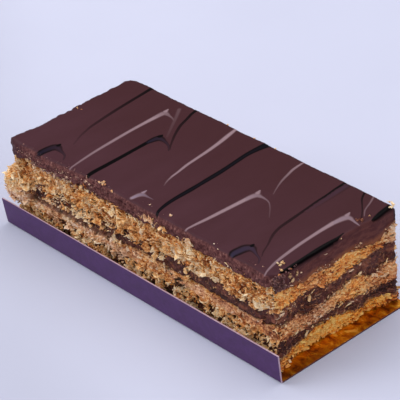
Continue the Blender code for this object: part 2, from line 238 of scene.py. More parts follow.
def pastry_finish():
    """Baked puff pastry: golden brown, olive, pinkish or amber by tint, painted shade in hollows, cream
    stains.
    """
    finish = Finish("pastry")
    tone = finish.attribute("tone")
    blotch = finish.cloud(5.0, 3.0)
    fine = finish.cloud((0.9, 0.9, 0.55), 4.0, 0.62, shift=3.0)
    grit = finish.cloud((0.8, 0.8, 0.5), 3.0, 0.7, shift=15.0)
    baked = tone + 0.05 + 0.3 * (blotch - 0.5) + 1.5 * (fine - 0.5) + 1.5 * (grit - 0.5)
    golden, pinkish, olive, amber = (
        finish.ramp(baked, *zip((0.0, 0.22, 0.45, 0.7, 1.0), (srgb(*shade) for shade in shades)))
        for shades in (
            ((104, 44, 14), (188, 103, 40), (228, 157, 84), (245, 196, 130), (252, 229, 190)),
            ((98, 50, 34), (168, 102, 66), (213, 153, 110), (235, 190, 150), (246, 218, 194)),
            ((80, 48, 26), (154, 106, 64), (208, 160, 108), (228, 194, 146), (242, 220, 186)),
            ((96, 36, 6), (192, 90, 16), (242, 144, 42), (253, 178, 68), (254, 210, 122)),
        )
    )
    tint = finish.attribute("tint")
    colour = finish.blend(golden, pinkish, tint.between(0.0, 1.0))
    colour = finish.blend(colour, olive, (-tint).between(0.0, 1.0))
    colour = finish.blend(colour, amber, tint.between(1.4, 2.4))
    stain = finish.attribute("stain")
    streak = finish.cloud(2.0, 4.0, shift=8.0)
    smeared = (stain + 0.8 * (streak - 0.5)).between(0.35, 0.75)
    colour = finish.blend(colour, srgb(108, 59, 48), 0.85 * smeared)
    hollow = finish.attribute("hollow")
    # Painted shade: darker where hollow is high, in the pits and gaps between flakes.
    colour = finish.shaded(colour, 1.0 - 0.92 * hollow.between(0.05, 0.95))
    finish.relief(finish.cloud(0.5, 4.0, 0.65, shift=1.0), 0.4)
    return finish.coat(Base_Color=colour, Roughness=0.55 - 0.2 * smeared, Specular_IOR_Level=0.3)


def cream_finish():
    """Chocolate cream: dark brown, rough where it is cut, glossy on its lumps, with fine crumbs in it."""
    finish = Finish("cream")
    tone = finish.attribute("tone")
    blotch = finish.cloud(2.4, 5.0, 0.65)
    colour = finish.ramp(
        tone + 1.3 * (blotch - 0.5),
        (0.15, srgb(56, 21, 17)),
        (0.5, srgb(92, 42, 32)),
        (0.85, srgb(148, 86, 62)),
    )
    crumb = finish.cloud(0.8, 3.0, shift=11.0).between(0.57, 0.66)
    colour = finish.blend(colour, srgb(170, 112, 74), 0.7 * crumb)
    # Painted shade in the hollows of the cream.
    colour = finish.shaded(colour, 1.0 - 0.75 * finish.attribute("hollow").between(0.1, 0.9))
    finish.relief(finish.cloud(0.7, 5.0, 0.7, shift=2.0), 0.5)
    roughness = 0.3 + 0.4 * finish.cloud(0.8, 2.0, shift=5.0)
    return finish.coat(Base_Color=colour, Roughness=roughness, Specular_IOR_Level=0.32)


def glaze_finish():
    """Chocolate glaze, smooth on top, with dark and milky strokes drawn through it and painted edge shadows.
    """
    finish = Finish("glaze")
    cloudy = finish.cloud((9.0, 24.0, 20.0), 3.0)
    back = finish.parts(finish.place)[1].between(-26.0 * MM, 26.0 * MM)
    colour = finish.ramp(cloudy, (0.3, srgb(63, 36, 41)), (0.7, srgb(69, 41, 48)))
    colour = finish.blend(colour, srgb(59, 31, 34), 0.75 * back)
    rough = finish.attribute("rough")
    grain = finish.cloud(0.9, 4.0, 0.65, shift=4.0)
    crusty = finish.ramp(
        grain,
        (0.34, srgb(66, 34, 34)),
        (0.50, srgb(102, 62, 60)),
        (0.62, srgb(124, 80, 75)),
        (0.72, srgb(182, 140, 124)),
    )
    colour = finish.blend(colour, crusty, 0.9 * rough.between(0.3, 1.0))
    cut = finish.attribute("cut")
    smear = finish.cloud((2.0, 4.0, 1.5), 4.0, 0.7, shift=5.0)
    warm = finish.blend(srgb(82, 46, 46), srgb(104, 62, 57), smear.between(0.35, 0.65))
    colour = finish.blend(colour, finish.blend(warm, srgb(140, 84, 58), finish.attribute("glow")), cut)
    shown = finish.attribute("on_top")
    for name, shade, sheen, crisp in (
        ("dark_stroke", srgb(3, 0, 1), srgb(46, 40, 60), 0.8),
        ("light_stroke", srgb(136, 112, 118), srgb(130, 114, 132), 0.35),
    ):
        near, strength, gloss = finish.parts(finish.attribute(name, "Vector"))
        line = (1.0 - near.between(crisp, 1.15)) * strength * shown
        shade = finish.blend(shade, sheen, gloss * (1.0 - near.between(0.25, 0.75)))
        colour = finish.blend(colour, shade, line)
    bumps = finish.cloud(2.5, 2.0, shift=6.0) * 0.05 + 0.6 * rough * grain
    finish.relief(bumps + 0.5 * cut * finish.cloud(0.7, 3.0), 0.35)
    roughness = 0.32 + 0.3 * rough + 0.3 * cut + 0.06 * cloudy
    return finish.coat(Base_Color=colour, Roughness=roughness, Specular_IOR_Level=0.045)


def crumbed_glaze_finish():
    """Bits of pastry under the glaze's edge, coated in chocolate."""
    finish = Finish("glaze_bits")
    colour = finish.ramp(
        finish.attribute("tone") + 0.5 * (finish.cloud(1.2, 3.0) - 0.5),
        (0.1, srgb(72, 40, 40)),
        (0.5, srgb(114, 74, 70)),
        (0.8, srgb(152, 108, 94)),
        (0.95, srgb(226, 186, 156)),
    )
    finish.relief(finish.cloud(0.6, 3.0, shift=2.0), 0.15)
    return finish.coat(Base_Color=colour, Roughness=0.45, Specular_IOR_Level=0.3)


def board_finish():
    """The card's outside: matt purple print on board, with a pale cut edge round the flap."""
    finish = Finish("card_board")
    mottle = finish.cloud(2.5, 4.0)
    fibre = finish.cloud((3.0, 0.25, 0.25), 3.0, shift=2.0)
    colour = finish.ramp(mottle + 0.3 * (fibre - 0.5), (0.3, srgb(76, 46, 90)), (0.7, srgb(86, 55, 105)))
    x, y, z = finish.parts(finish.place)
    # Where the cut edges begin: at both ends, at the back and on the flap's top. The flap lies before `face`.
    end, back, top, face = 65.19 * MM, 26.1 * MM, 9.96 * MM, -25.6 * MM
    base = (abs(x) - end).most(y - back) / MM
    colour = finish.blend(colour, srgb(92, 54, 58), base.between(0.0, 0.02))
    flap = (abs(x) - end).least(face - y).most(z - top) / MM
    colour = finish.blend(colour, srgb(186, 158, 172), flap.between(0.0, 0.02))
    finish.relief(fibre, 0.03)
    colour = finish.shaded(colour, 0.8 + 0.4 * finish.cloud(0.9, 3.0, 0.7, shift=6.0))
    return finish.coat(Base_Color=colour, Roughness=0.5 + 0.15 * mottle, Specular_IOR_Level=0.25)


def foil_finish():
    """The card's inside: gold foil in amber blotches with painted yellow glints, fine creases and dark marks.
    """
    finish = Finish("card_foil")
    blotches_and_glints = finish.cloud((5.0, 3.5, 4.0), 5.0, 0.65, warp=0.6)
    colour = finish.ramp(
        blotches_and_glints,
        (0.36, srgb(104, 42, 2)),
        (0.47, srgb(176, 92, 4)),
        (0.57, srgb(208, 136, 14)),
        (0.7, srgb(248, 200, 84)),
    )
    marks = finish.cloud((2.4, 2.4, 2.0), 4.0, shift=7.0).between(0.58, 0.7)
    colour = finish.blend(colour, srgb(60, 24, 4), 0.7 * marks)
    x, y = finish.parts(finish.place)[:2]
    # Painted light: brighter next to the bar, where the foil mirrors the pastry, and painted shade towards
    # its front.
    near = 1.0 - x.between(60.0 * MM, 64.2 * MM)
    front = (-y).between(4.0 * MM, 10.0 * MM)
    colour = finish.shaded(colour, 1.0 + 0.45 * near - 0.35 * front * (1.0 - near))
    finish.relief(finish.cloud((4.0, 1.2, 1.5), 4.0, shift=3.0), 0.12)
    return finish.coat(Base_Color=colour, Metallic=0.5 + 0.3 * blotches_and_glints, Roughness=0.22 + 0.25 * blotches_and_glints)


def floor_finish():
    """Pale paper under the card, with painted shade that makes it greyer towards its front."""
    finish = Finish("floor")
    x, y = finish.parts(finish.place)[:2]
    front = (-(y + 0.55 * x)).between(0.015, 0.075)
    mottle = finish.cloud(60.0, 2.0)
    colour = finish.ramp(mottle, (0.3, srgb(189, 191, 211)), (0.7, srgb(191, 193, 213)))
    # Painted shade towards the front.
    colour = finish.shaded(colour, 1.0 - 0.13 * front)
    return finish.coat(Base_Color=colour, Roughness=0.9, Specular_IOR_Level=0.1)


# Building blocks


def smooth_step(value):
    """0 below 0, 1 above 1 and a smooth ramp between."""
    value = min(max(value, 0.0), 1.0)
    return value * value * (3.0 - 2.0 * value)


def hills(x, y, z):
    """Smooth noise between -1 and 1, with hills about 1 apart."""
    return noise.noise(Vector((x, y, z)))


def ripple(x, y, z, pitch, layer):
    """Smooth noise between -1 and 1, with hills about `pitch` mm apart, different for each layer."""
    return hills(x / pitch, y / pitch, z / pitch + 9.7 * layer)


def hump(value, middle, reach):
    """1 at `middle`, falling off smoothly over `reach` on both sides."""
    return math.exp(-(((value - middle) / reach) ** 2))


def linked(name, data):
    """A new object in the scene."""
    made = bpy.data.objects.new(name, data)
    bpy.context.scene.collection.objects.link(made)
    return made


def finished(name, mesh, finish, slot, *nodes, smooth=False):
    """The piece `name`: a mesh in millimetres on the bar, put into metres, dressed and set on the frame."""
    mesh.transform(Matrix.Scale(MM, 4) @ Matrix.Translation((*BAR_MIDDLE, 0.0)))
    mesh.name = name
    if smooth:
        mesh.shade_smooth()
    else:
        mesh.shade_flat()
    mesh.materials.append(finish)
    piece = linked(name, mesh)
    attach(piece, "root")
    if nodes:
        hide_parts(*nodes)
    return piece


def mesh_of(shape):
    """A mesh that holds a bmesh, which is used up."""
    mesh = bpy.data.meshes.new("shape")
    shape.to_mesh(mesh)
    shape.free()
    return mesh


def marked(mesh, **marks):
    """Stores one number or vector for each point of a mesh under each name."""
    for name, values in marks.items():
        kind, field = ("FLOAT_VECTOR", "vector") if np.ndim(values) == 2 else ("FLOAT", "value")
        layer = mesh.attributes.new(name, kind, "POINT")
        layer.data.foreach_set(field, np.ravel(values).astype(np.float32))
    return mesh


def scattered(kinds, places):
    """One mesh of many small shapes. Each place is a kind's number, a matrix, and its marks in order:
    tone, stain, tint and hollow shade, which is painted shade. A shape that would stand out of the object's
    box is left out."""
    points, corners, values, arrays = [], [], [], []
    start = 0
    for shape in kinds:
        bmesh.ops.triangulate(shape, faces=shape.faces)
        shape.verts.index_update()
        faces = np.array([[vert.index for vert in face.verts] for face in shape.faces])
        arrays.append((np.array([(*vert.co, 1.0) for vert in shape.verts]), faces))
        shape.free()
    for kind, matrix, *marks in places:
        verts, faces = arrays[kind]
        put = (verts @ np.array(matrix).T)[:, :3]
        if not inside_box(put):
            continue
        points.append(put)
        corners.append(faces + start)
        values.append(np.tile(marks, (len(verts), 1)))
        start += len(verts)
    mesh = bpy.data.meshes.new("scatter")
    mesh.from_pydata(np.concatenate(points), [], np.concatenate(corners))
    return marked(mesh, **dict(zip(("tone", "stain", "tint", "hollow"), np.concatenate(values).T)))


# The bar's layers

# Steps of their walls along and up, and how far in the rings of their caps lie.
WALL_STEPS = (0.42, 0.4)
CAP_RINGS = (0.8, 1.2, 1.8, 3.5)


def climb(x, y):
    """How far the seam under the glaze rises at a place across the bar, where crumbs climb its sides."""
    inside = WIDTH / 2 - abs(y)
    rise = 2.4 * (1.0 - 0.8 * smooth_step((-52.0 - x) / 6.0)) if y < 0 else 0.9
    return rise * smooth_step((7.3 - inside) / 4.1)


def seam_height(layer, x, y):
    """Height of the top of a layer at (x, y), or of the card below layer 0."""
    if layer < 0:
        return CARD_TOP + HALF_GAP
    name = LAYERS[layer]
    height = LAYER_TOPS[name]
    if name == "glaze":
        return height + 0.08 * ripple(x, y, 0.0, 17.0, layer)
    height += 0.55 * ripple(x, y, 0.0, 17.0, layer)
    if name == "pastry_top":
        height += climb(x, y)
    closed = smooth_step((-52.5 - x) / 3.0) * smooth_step((-18.0 - y) / 4.0)
    middle = {0: 8.9, 1: 9.3, 2: 18.6, 3: 19.2}.get(layer, height)
    if name == "pastry_middle":
        height -= (0.9 + 0.6 * smooth_step((-12.0 - x) / 8.0)) * smooth_step((-17.0 - y) / 5.0)
    height += closed * (middle - height)
    near = smooth_step(1.0 - (LENGTH / 2 - x) / 5.0)
    if near > 0.0:
        fine = 0.6 * hills(y / 1.6, 4.0 * layer, 0.0) + 0.5 * hills(y / 0.7, 5.0 * layer, 3.0)
        height += near * (along_line(y, CUT_SEAMS[name]) + fine - height)
    return height


def span_of(edge, axis):
    """How far an edge reaches along an axis."""
    return abs(edge.verts[0].co[axis] - edge.verts[1].co[axis])


def extruded(shape, rim):
    """Extrudes a rim of open edges in place: the new rim and its points."""
    made = bmesh.ops.extrude_edge_only(shape, edges=rim)["geom"]
    kinds = (bmesh.types.BMEdge, bmesh.types.BMVert)
    return [[part for part in made if isinstance(part, kind)] for kind in kinds]


def capped(shape, rim, rings):
    """Closes an open rim round the bar with rings, each so many millimetres further in, and one face."""
    for reach in rings:
        rim, inner = extruded(shape, rim)
        shrink = (1.0 - 2.0 * reach / LENGTH, 1.0 - 2.0 * reach / WIDTH, 1.0)
        bmesh.ops.scale(shape, vec=shrink, verts=inner)
    bmesh.ops.contextual_create(shape, geom=rim)


def wall_box(height):
    """A box of the bar's length and width, 1 high, with walls fine enough for its height in millimetres."""
    shape = bmesh.new()
    bmesh.ops.create_cube(shape, size=1.0)
    bmesh.ops.scale(shape, vec=(LENGTH, WIDTH, 1.0), verts=shape.verts)
    bmesh.ops.translate(shape, vec=(0.0, 0.0, 0.5), verts=shape.verts)
    upright = [edge for edge in shape.edges if span_of(edge, 2) > 0.5]
    bmesh.ops.bevel(shape, geom=upright, offset=1.6, segments=4, profile=0.5, affect="EDGES", material=-1)
    caps = [face for face in shape.faces if abs(face.normal.z) > 0.9]
    bmesh.ops.delete(shape, geom=caps, context="FACES_ONLY")
    for axis, size in ((0, LENGTH), (1, WIDTH)):
        runs = [edge for edge in shape.edges if span_of(edge, axis) > size / 2]
        bmesh.ops.subdivide_edges(shape, edges=runs, cuts=round(size / WALL_STEPS[0]) - 1)
    posts = [edge for edge in shape.edges if span_of(edge, 2) > 0.5]
    bmesh.ops.subdivide_edges(shape, edges=posts, cuts=max(round(height / WALL_STEPS[1]) - 1, 1))
    for level in (0.0, 1.0):
        rim = [edge for edge in shape.edges if edge.is_boundary and abs(edge.verts[0].co.z - level) < 1e-4]
        capped(shape, rim, CAP_RINGS)
    bmesh.ops.recalc_face_normals(shape, faces=shape.faces)
    shape.normal_update()
    return shape


def pits(x, y, z, way):
    """Depth of the holes between flakes in a wall of pastry, from 0 to 1."""
    if way[0] > 0.7:
        return smooth_step((hills(x / 3.0, y / 2.2, z / 0.7 + 50.0) - 0.2) / 0.25)
    return smooth_step((hills(x / 2.1, y / 2.1, z / 1.2 + 50.0) - 0.12) / 0.3)


def wall_reach(layer, x, y, z, level, facing):
    """How far a layer's wall stands out of the bar's cut faces at a place; `facing` is its way out."""
    name = LAYERS[layer]
    side = facing[1] ** 2
    wobble = side * ripple(x, math.copysign(40.0, y), z, 5.0, layer)
    wobble += (1.0 - side) * ripple(x, y, z, 4.0, layer + 20)
    if name.startswith("cream"):
        return 0.35 * wobble - 0.3 * side - 0.25 * (1.0 - side)
    crag = 0.6 * wobble
    if name == "pastry_bottom":
        crag -= 0.9 * (1.0 - smooth_step(level / 0.35)) * (1.0 - max(facing[0], 0.0))
    return crag


def cut_recess(layer, x, y, level):
    """How far the right cut end lies in, in the two lowest layers."""
    share = (1.0 - 0.55 * level, 0.45 * (1.0 - level), 0.0, 0.0, 0.0, 0.0)[layer]
    return 1.1 * (along_line(y, CUT_FOOT) - 0.4) * share * smooth_step(1.0 - (LENGTH / 2 - x) / 6.0)


def fine_crags(layer, x, y, z):
    """Small roughness of a cut layer: thin leaves in the pastry, lumps in the cream."""
    if LAYERS[layer].startswith("cream"):
        lumps = hills(x / 1.5, y / 1.5, z / 1.3 + 20.0)
        return 0.5 * lumps + 0.35 * hills(x / 0.7, y / 0.7, z / 0.7 + 30.0)
    leaves = hills(x / 2.6, y / 2.6, z / 0.55 + 10.0)
    return 0.35 * leaves + 0.3 * hills(x / 0.9, y / 0.9, z / 0.7 + 40.0)


def layer_piece(layer, finish, slot):
    """The body of one layer, with crags in its walls, in place of its plain node."""
    name = LAYERS[layer]
    crumbly = name.startswith("pastry")
    height = LAYER_TOPS[name] - (LAYER_TOPS[LAYERS[layer - 1]] if layer else CARD_TOP)
    shape = wall_box(height)
    marks, moved = [], []
    for vert in shape.verts:
        x, y, level = vert.co
        low = seam_height(layer - 1, x, y) + HALF_GAP
        high = seam_height(layer, x, y) - HALF_GAP
        z = low + (high - low) * level
        way = Vector((vert.normal.x, vert.normal.y))
        wall = smooth_step((way.length - 0.15) / 0.5)
        way = way.normalized() if way.length > 1e-3 else Vector((0.0, 0.0))
        pit = reach = stain = 0.0
        tone, tint = pastry_shade(x, y, z, way)
        if wall > 0.0:
            pit = pits(x, y, z, way) if crumbly else 0.4 * pits(x, y, z + 30.0, way)
            reach = wall_reach(layer, x, y, z, level, way)
            stain = stain_at(layer, level, high - low, x, y)
            coated = 1.0 - smooth_step(way.x / 0.6)
            if crumbly and coated > 0.0:
                cover, smear = side_cover(way, x, y, z)
                coat = side_bulge(way, x, y, z) * cover - 0.9 * (1.0 - cover) - 0.35
                reach += (coat - reach) * coated
                stain += (smear - stain) * coated
            if crumbly:
                pit *= 0.85 * (1.0 - 0.85 * coated * even_at(way, x, y, z))
                pit *= 1.0 - 0.3 * coated * smooth_step((-26.0 - coat_run(way, x, y)) / 6.0)
                # Gaps deepen pit, which is painted as shade.
                pit = max(pit, coated * gap_at(way, x, y, z, 2.0))
            # A painted shadow line along the foot of the right cut end, where the sheet is also pressed in.
            if layer == 0 and way.x > 0.7:
                foot_shadow = 0.6 + 0.5 * hills(y / 4.5, 3.0, 1.0) + 0.5 * hills(y / 0.9, 3.0, 5.0)
                pit = max(pit, foot_shadow * (1.0 - smooth_step(level / 0.16)))
            reach += fine_crags(layer, x, y, z) - 0.8 * pit
            # Painted shade: the sheet behind the coat is darker.
            tone -= 0.12 * coated
        place = Vector((x + way.x * reach * wall, y + way.y * reach * wall, z))
        place += 1.2 * smooth_step((x - 57.5) / 2.0) * smooth_step((y - 21.5) / 2.0) * way.to_3d()
        place.x -= cut_recess(layer, x, y, level)
        place.y = min(place.y, 25.9)
        moved.append(place)
        # pit is painted as shade through the hollow mark.
        marks.append((tone, stain, tint, pit * wall))
    for vert, place in zip(shape.verts, moved):
        vert.co = place
    tone, stain, tint, hollow = np.array(marks).T
    mesh = marked(mesh_of(shape), tone=tone, stain=stain, tint=tint, hollow=hollow)
    return finished(name + "_sheet" if crumbly else name + "_layer", mesh, finish, slot, name)


def stain_at(layer, level, height, x, y):
    """How much cream is smeared on a pastry sheet, near the seams where it meets the cream."""
    name = LAYERS[layer]
    if name.startswith("cream"):
        return 0.0
    above = (1.0 - level) * height
    below = level * height
    near = [above] if name != "pastry_top" else []
    if name != "pastry_bottom":
        near.append(below)
    return 0.75 * (1.0 - smooth_step(min(near) / (1.2 + 0.8 * hills(x / 3.0, y / 3.0, 5.0 * layer))))


def pastry_shade(x, y, z, way):
    """Paler or browner pastry from place to place, from 0 to 1, and its tint: olive under 0, pinkish at 1 and
    amber over 2."""
    tone = 0.58 + 0.3 * hills(x / 8.0, y / 8.0, z / 4.0 + 70.0)
    if way[0] > 0.7:
        leaves = hills(3.0, y / 4.0, z / 0.6) + 0.8 * hills(9.0, y / 1.4, z / 0.9)
        places, shifts, tints = zip(*CUT_SHADES[pastry_layer_at(z)])
        tone -= 0.32 * smooth_step((z - 5.8) / 1.5) * smooth_step((9.0 - z) / 0.4)
        tone += 0.12 * smooth_step((6.2 - z) / 1.5)
        return tone + 0.3 * leaves + float(np.interp(y, places, shifts)), float(np.interp(y, places, tints))
    run = coat_run(way, x, y)
    for across, up, reach, rise, depth in BROWN_PATCHES:
        tone -= depth * math.exp(-(((run - across) / reach) ** 2) - ((z - up) / rise) ** 2)
    middle = smooth_step((18.2 - z) / 1.5) * smooth_step((z - 10.0) / 4.0)
    low = smooth_step((12.5 - z) / 3.5)
    pale = smooth_step((2.0 - run) / 12.0) * smooth_step((z - 8.2) / 1.5) * smooth_step((15.5 - z) / 1.5)
    tint = 0.45 * middle - 0.35 * low + 0.55 * pale + 0.8 * hills(x / 4.0, y / 4.0, z / 3.0)
    tone += 0.25 * hills(x / 2.2, y / 2.2, z / 1.8)
    even = even_at(way, x, y, z)
    tint += 0.3 * even
    light = smooth_step((-12.0 - run) / 6.0) * smooth_step((z - 16.5) / 1.5) * smooth_step((21.5 - z) / 1.5)
    tone += 0.09 * pale - 0.1 * even + 0.14 * light
    return tone - 0.03 - 0.03 * smooth_step((18.0 - z) / 2.0), tint


# Shades of each pastry sheet along the right cut end: place, tone and tint.
CUT_SHADES = {
    "pastry_bottom": ((-24, -0.18, 2.1), (-18, -0.14, 2.3), (-11, 0.16, 2.5), (0, 0.04, 2.5), (7, -0.02, 2.4),
        (14, -0.14, 2.5), (19, -0.32, 2.4), (24, -0.5, 2)),
    "pastry_middle": ((-24, -0.26, 1.9), (-15, -0.24, 1.8), (-8, -0.16, 1.6), (0, -0.06, 2), (8, 0, 2.1),
        (14, -0.04, 1.9), (18, 0, 1.9), (24, -0.16, 1.8)),
    "pastry_top": ((-24, -0.02, 2.1), (-18, -0.02, 2.1), (-10, -0.08, 1.9), (0, -0.06, 2.1), (10, 0.02, 2.1),
        (18, -0.1, 2), (24, -0.06, 1.6)),
}
# Browner places in the coat: run, height, reach along, reach up and depth.
BROWN_PATCHES = (
    (-56, 24, 3.6, 3.4, 0.32), (-47, 18, 2.6, 1.7, 0.4), (-46.5, 24.6, 1.6, 1.2, 0.35),
    (-12, 24, 3, 1.5, 0.32), (-8, 27, 1.6, 1.3, 0.35), (9.5, 28.3, 2.2, 1.3, 0.3), (13, 28, 1.3, 1.2, 0.4),
    (7, 25, 1.6, 1, 0.3), (31, 27.5, 1.9, 1.4, 0.38), (46, 23.5, 2.4, 2, 0.45), (45.5, 27.3, 1.6, 1.5, 0.42),
    (39, 29, 1.6, 1, 0.32), (59, 15.5, 2.2, 1.6, 0.3), (-29, 26, 2.5, 1.2, 0.25), (18, 27, 1.8, 1.4, 0.25),
    (-22, 25.5, 2, 1, 0.2), (-22, 28.8, 8, 1.4, 0.26), (-8, 19.5, 5, 1.6, 0.22), (-8, 15.4, 6, 1.6, 0.12),
    (7, 23, 4.5, 1.5, -0.12), (52, 23.5, 3, 1.6, 0.12), (50, 28.8, 4, 1.2, 0.1),
)
# Gaps between the crumbs of the coat, with painted shade: run, height at which they are seen, reach along and
# reach up.
GAPS = (
    (-60.8, 10.2, 1.5, 1), (-56.2, 9.8, 2, 1.1), (-52.2, 20.7, 0.7, 0.8), (-49.5, 21, 1, 0.5),
    (-38, 8, 5.2, 1.2), (-32.8, 23.2, 1.8, 1.3), (-12.5, 8.3, 5.2, 1.5), (4.5, 8.2, 2.8, 1.2),
    (12, 8.9, 3.4, 1.9), (16.5, 13.5, 3.2, 0.9), (28, 7.9, 8, 1.1), (54, 7.9, 4.6, 1.1), (48.8, 21, 1.2, 0.9),
    (31.8, 22, 1.3, 1.1), (27, 22, 1.1, 1.1), (-50.5, 23.5, 0.9, 1.6), (41.5, 13.5, 2.4, 0.6),
    (10, 25.5, 0.8, 0.8), (20.5, 21.2, 1.2, 0.8), (36.5, 22.8, 1, 1.2), (-17.5, 19.2, 3, 0.7),
    (-6, 22, 1.6, 0.8),
)


def coat_run(way, x, y):
    """Where a place on a coated side lies along the front: the back is the front turned round, and the
    left end has the front's look near its left corner."""
    return x if way[1] < -0.7 else -x if way[1] > 0.7 else -50.0 + 0.4 * y


def gap_at(way, x, y, z, sink):
    """How deep a gap, painted dark as shade, is on a coated side, from 0 to 1, `sink` lower than where it is
    seen.
    """
    run = coat_run(way, x, y)
    salt = 0.35 * hills(run / 1.3, z / 1.3, 3.0 * way[1])
    depth = 0.0
    for across, up, reach, rise in GAPS:
        above = z + sink - up
        if abs(run - across) < 2.2 * reach and abs(above) < 2.2 * rise:
            depth = max(depth, math.exp(-(((run - across) / reach) ** 2) - (above / rise) ** 2))
    return smooth_step((depth + salt - 0.3) / 0.4)


def even_at(way, x, y, z):
    """1 where a long side shows an even face of pastry under the band of cream, 0 elsewhere."""
    return smooth_step((coat_run(way, x, y) - 20.0) / 4.0) * smooth_step(z - 12.2) * smooth_step(17.0 - z)


# Flakes and crumbs


def flake_kinds(rng, count):
    """Thin curled flakes with ragged outlines, one unit long, that grow from their foot at the origin.
    Some are two leaves that lie on each other."""
    kinds = []
    for number in range(count):
        shape = bmesh.new()
        for leaf in range(2 if number % 4 == 0 else 1):
            leaf_shape = bmesh.ops.create_grid(shape, x_segments=3, y_segments=2, size=0.5)
            bend, twist = rng.uniform(-0.7, 1.0), rng.uniform(-0.9, 0.9)
            narrow, slant = rng.uniform(0.4, 0.9), rng.uniform(-0.3, 0.3)
            for vert in leaf_shape["verts"]:
                x, y = vert.co.x, vert.co.y
                pull = 1.0 - 0.7 * abs(x) * abs(y)
                vert.co = (
                    x * pull + slant * y + rng.uniform(-0.15, 0.15) + 0.3 - 0.2 * leaf,
                    narrow * y * pull + rng.uniform(-0.13, 0.13),
                    bend * x * x + twist * x * y + rng.uniform(-0.09, 0.09) + 0.16 * leaf,
                )
        bmesh.ops.solidify(shape, geom=shape.faces[:], thickness=rng.uniform(0.05, 0.11))
        bmesh.ops.recalc_face_normals(shape, faces=shape.faces)
        kinds.append(shape)
    return kinds


def crumb_kinds(rng, count):
    """Small broken lumps, one unit across."""
    kinds = []
    for number in range(count):
        shape = bmesh.new()
        bmesh.ops.create_icosphere(shape, subdivisions=1, radius=0.5)
        flat, narrow = rng.uniform(0.35, 0.8), rng.uniform(0.6, 1.0)
        for vert in shape.verts:
            vert.co *= rng.uniform(0.55, 1.25)
            vert.co.z *= flat
            vert.co.y *= narrow
        kinds.append(shape)
    return kinds


def facing_matrix(way):
    """Turns a shape so that its X runs along a wall, its Y up it and its Z out of it along `way`."""
    way = Vector(way).normalized()
    along = Vector((0.0, 0.0, 1.0)).cross(way).normalized()
    return Matrix((along, way.cross(along), way)).transposed().to_4x4()


def along_line(value, points):
    """Height of a broken line through (place, height) points."""
    return float(np.interp(value, *zip(*points)))


# Height of the crumbs' upper edge on the front, and of the dark band of cream that they leave bare.
CRUMB_EDGE = (
    (-60, 28.2), (-57, 29.6), (-54.5, 31.2), (-51, 29.6), (-45, 29.6), (-40, 29), (-35, 29.8), (-31, 28.8),
    (-25.5, 30.2), (-20, 29), (-10, 29.1), (-5, 28.8), (0, 29.6), (3.5, 32), (5.5, 31.2), (8.5, 33.4),
    (10.5, 32), (14, 31.2), (17, 30.4), (24, 31.4), (26, 32.8), (28, 30.6), (36, 30.4), (40, 31), (50, 29.8),
    (60, 31.2),
)
BAND_TOP = (
    (-60, 15.6), (-55.5, 16.6), (-51, 18), (-48, 15.8), (-40, 15.5), (-34, 15.9), (-20, 16), (-14, 17.4),
    (-9, 19.1), (-4, 19.2), (2, 18.3), (11, 18.3), (14, 21), (18, 20.6), (21, 19.2), (25, 19.6), (28, 21.2),
    (33, 20.2), (37, 21.6), (40, 20), (50, 19.8), (55, 20.2), (60, 21.2),
)
BAND_FOOT = (
    (-60, 13.8), (-48, 13.5), (-30, 13.6), (-20, 14.2), (-12, 15.6), (0, 16.2), (12, 16.3), (25, 16.6),
    (60, 16.4),
)
BAND_BARE = (
    (-60, 0), (-56.5, 0.1), (-54, 0.65), (-50.5, 0.9), (-48, 0.75), (-36, 0.8), (-33, 0.9), (-28, 0.8),
    (-20, 0.8), (-12, 0.85), (-4, 0.95), (30, 1), (60, 1),
)
# How far the coat swells at the left front corner: height and reach.
CORNER_SWELL = (
    (0, 0), (3, 0), (8, 0.5), (10, 1.4), (11.2, 2.9), (12, 3.7), (13, 4.6), (14, 5.2), (16, 5.5), (19, 5.4),
    (20, 4.6), (20.8, 3.4), (21.6, 1), (22.5, 0), (24, -0.3), (26, -0.9), (27.5, -1.3), (30, -1.7),
)


def side_cover(way, x, y, z):
    """How thickly crumbs lie on a coated side, from 0 to 1, and how much cream is on them.

    The front is as it is seen; the back and the left end carry the same coat, turned round the bar.
    """
    run = coat_run(way, x, y)
    salt = 9.0 * way[1] + 5.0 * way[0]
    sway = 0.6 * hills(run / 2.6, salt, 3.0) + 0.5 * hills(run / 1.1, salt, 8.0)
    edge = along_line(run, CRUMB_EDGE) + 1.3 * sway
    cover = 1.0 - smooth_step((z - edge + 0.7) / 1.4)
    top, foot = along_line(run, BAND_TOP) + 0.9 * sway, along_line(run, BAND_FOOT) - 0.6 * sway
    inside = min(z - foot, top - z)
    bare = smooth_step(inside / 0.8 + 0.5) * along_line(run, BAND_BARE)
    if way[1] > 0.7:
        bare *= 1.0 - smooth_step((x - 46.0) / 6.0)
    smear = 0.55 + 0.3 * smooth_step((-8.0 - run) / 6.0)
    smear -= 0.45 * smooth_step((-54.0 - run) / 3.0) * (way[1] < 0.0)
    return cover * (1.0 - 0.97 * bare), smear * smooth_step(0.8 + inside / 1.4)


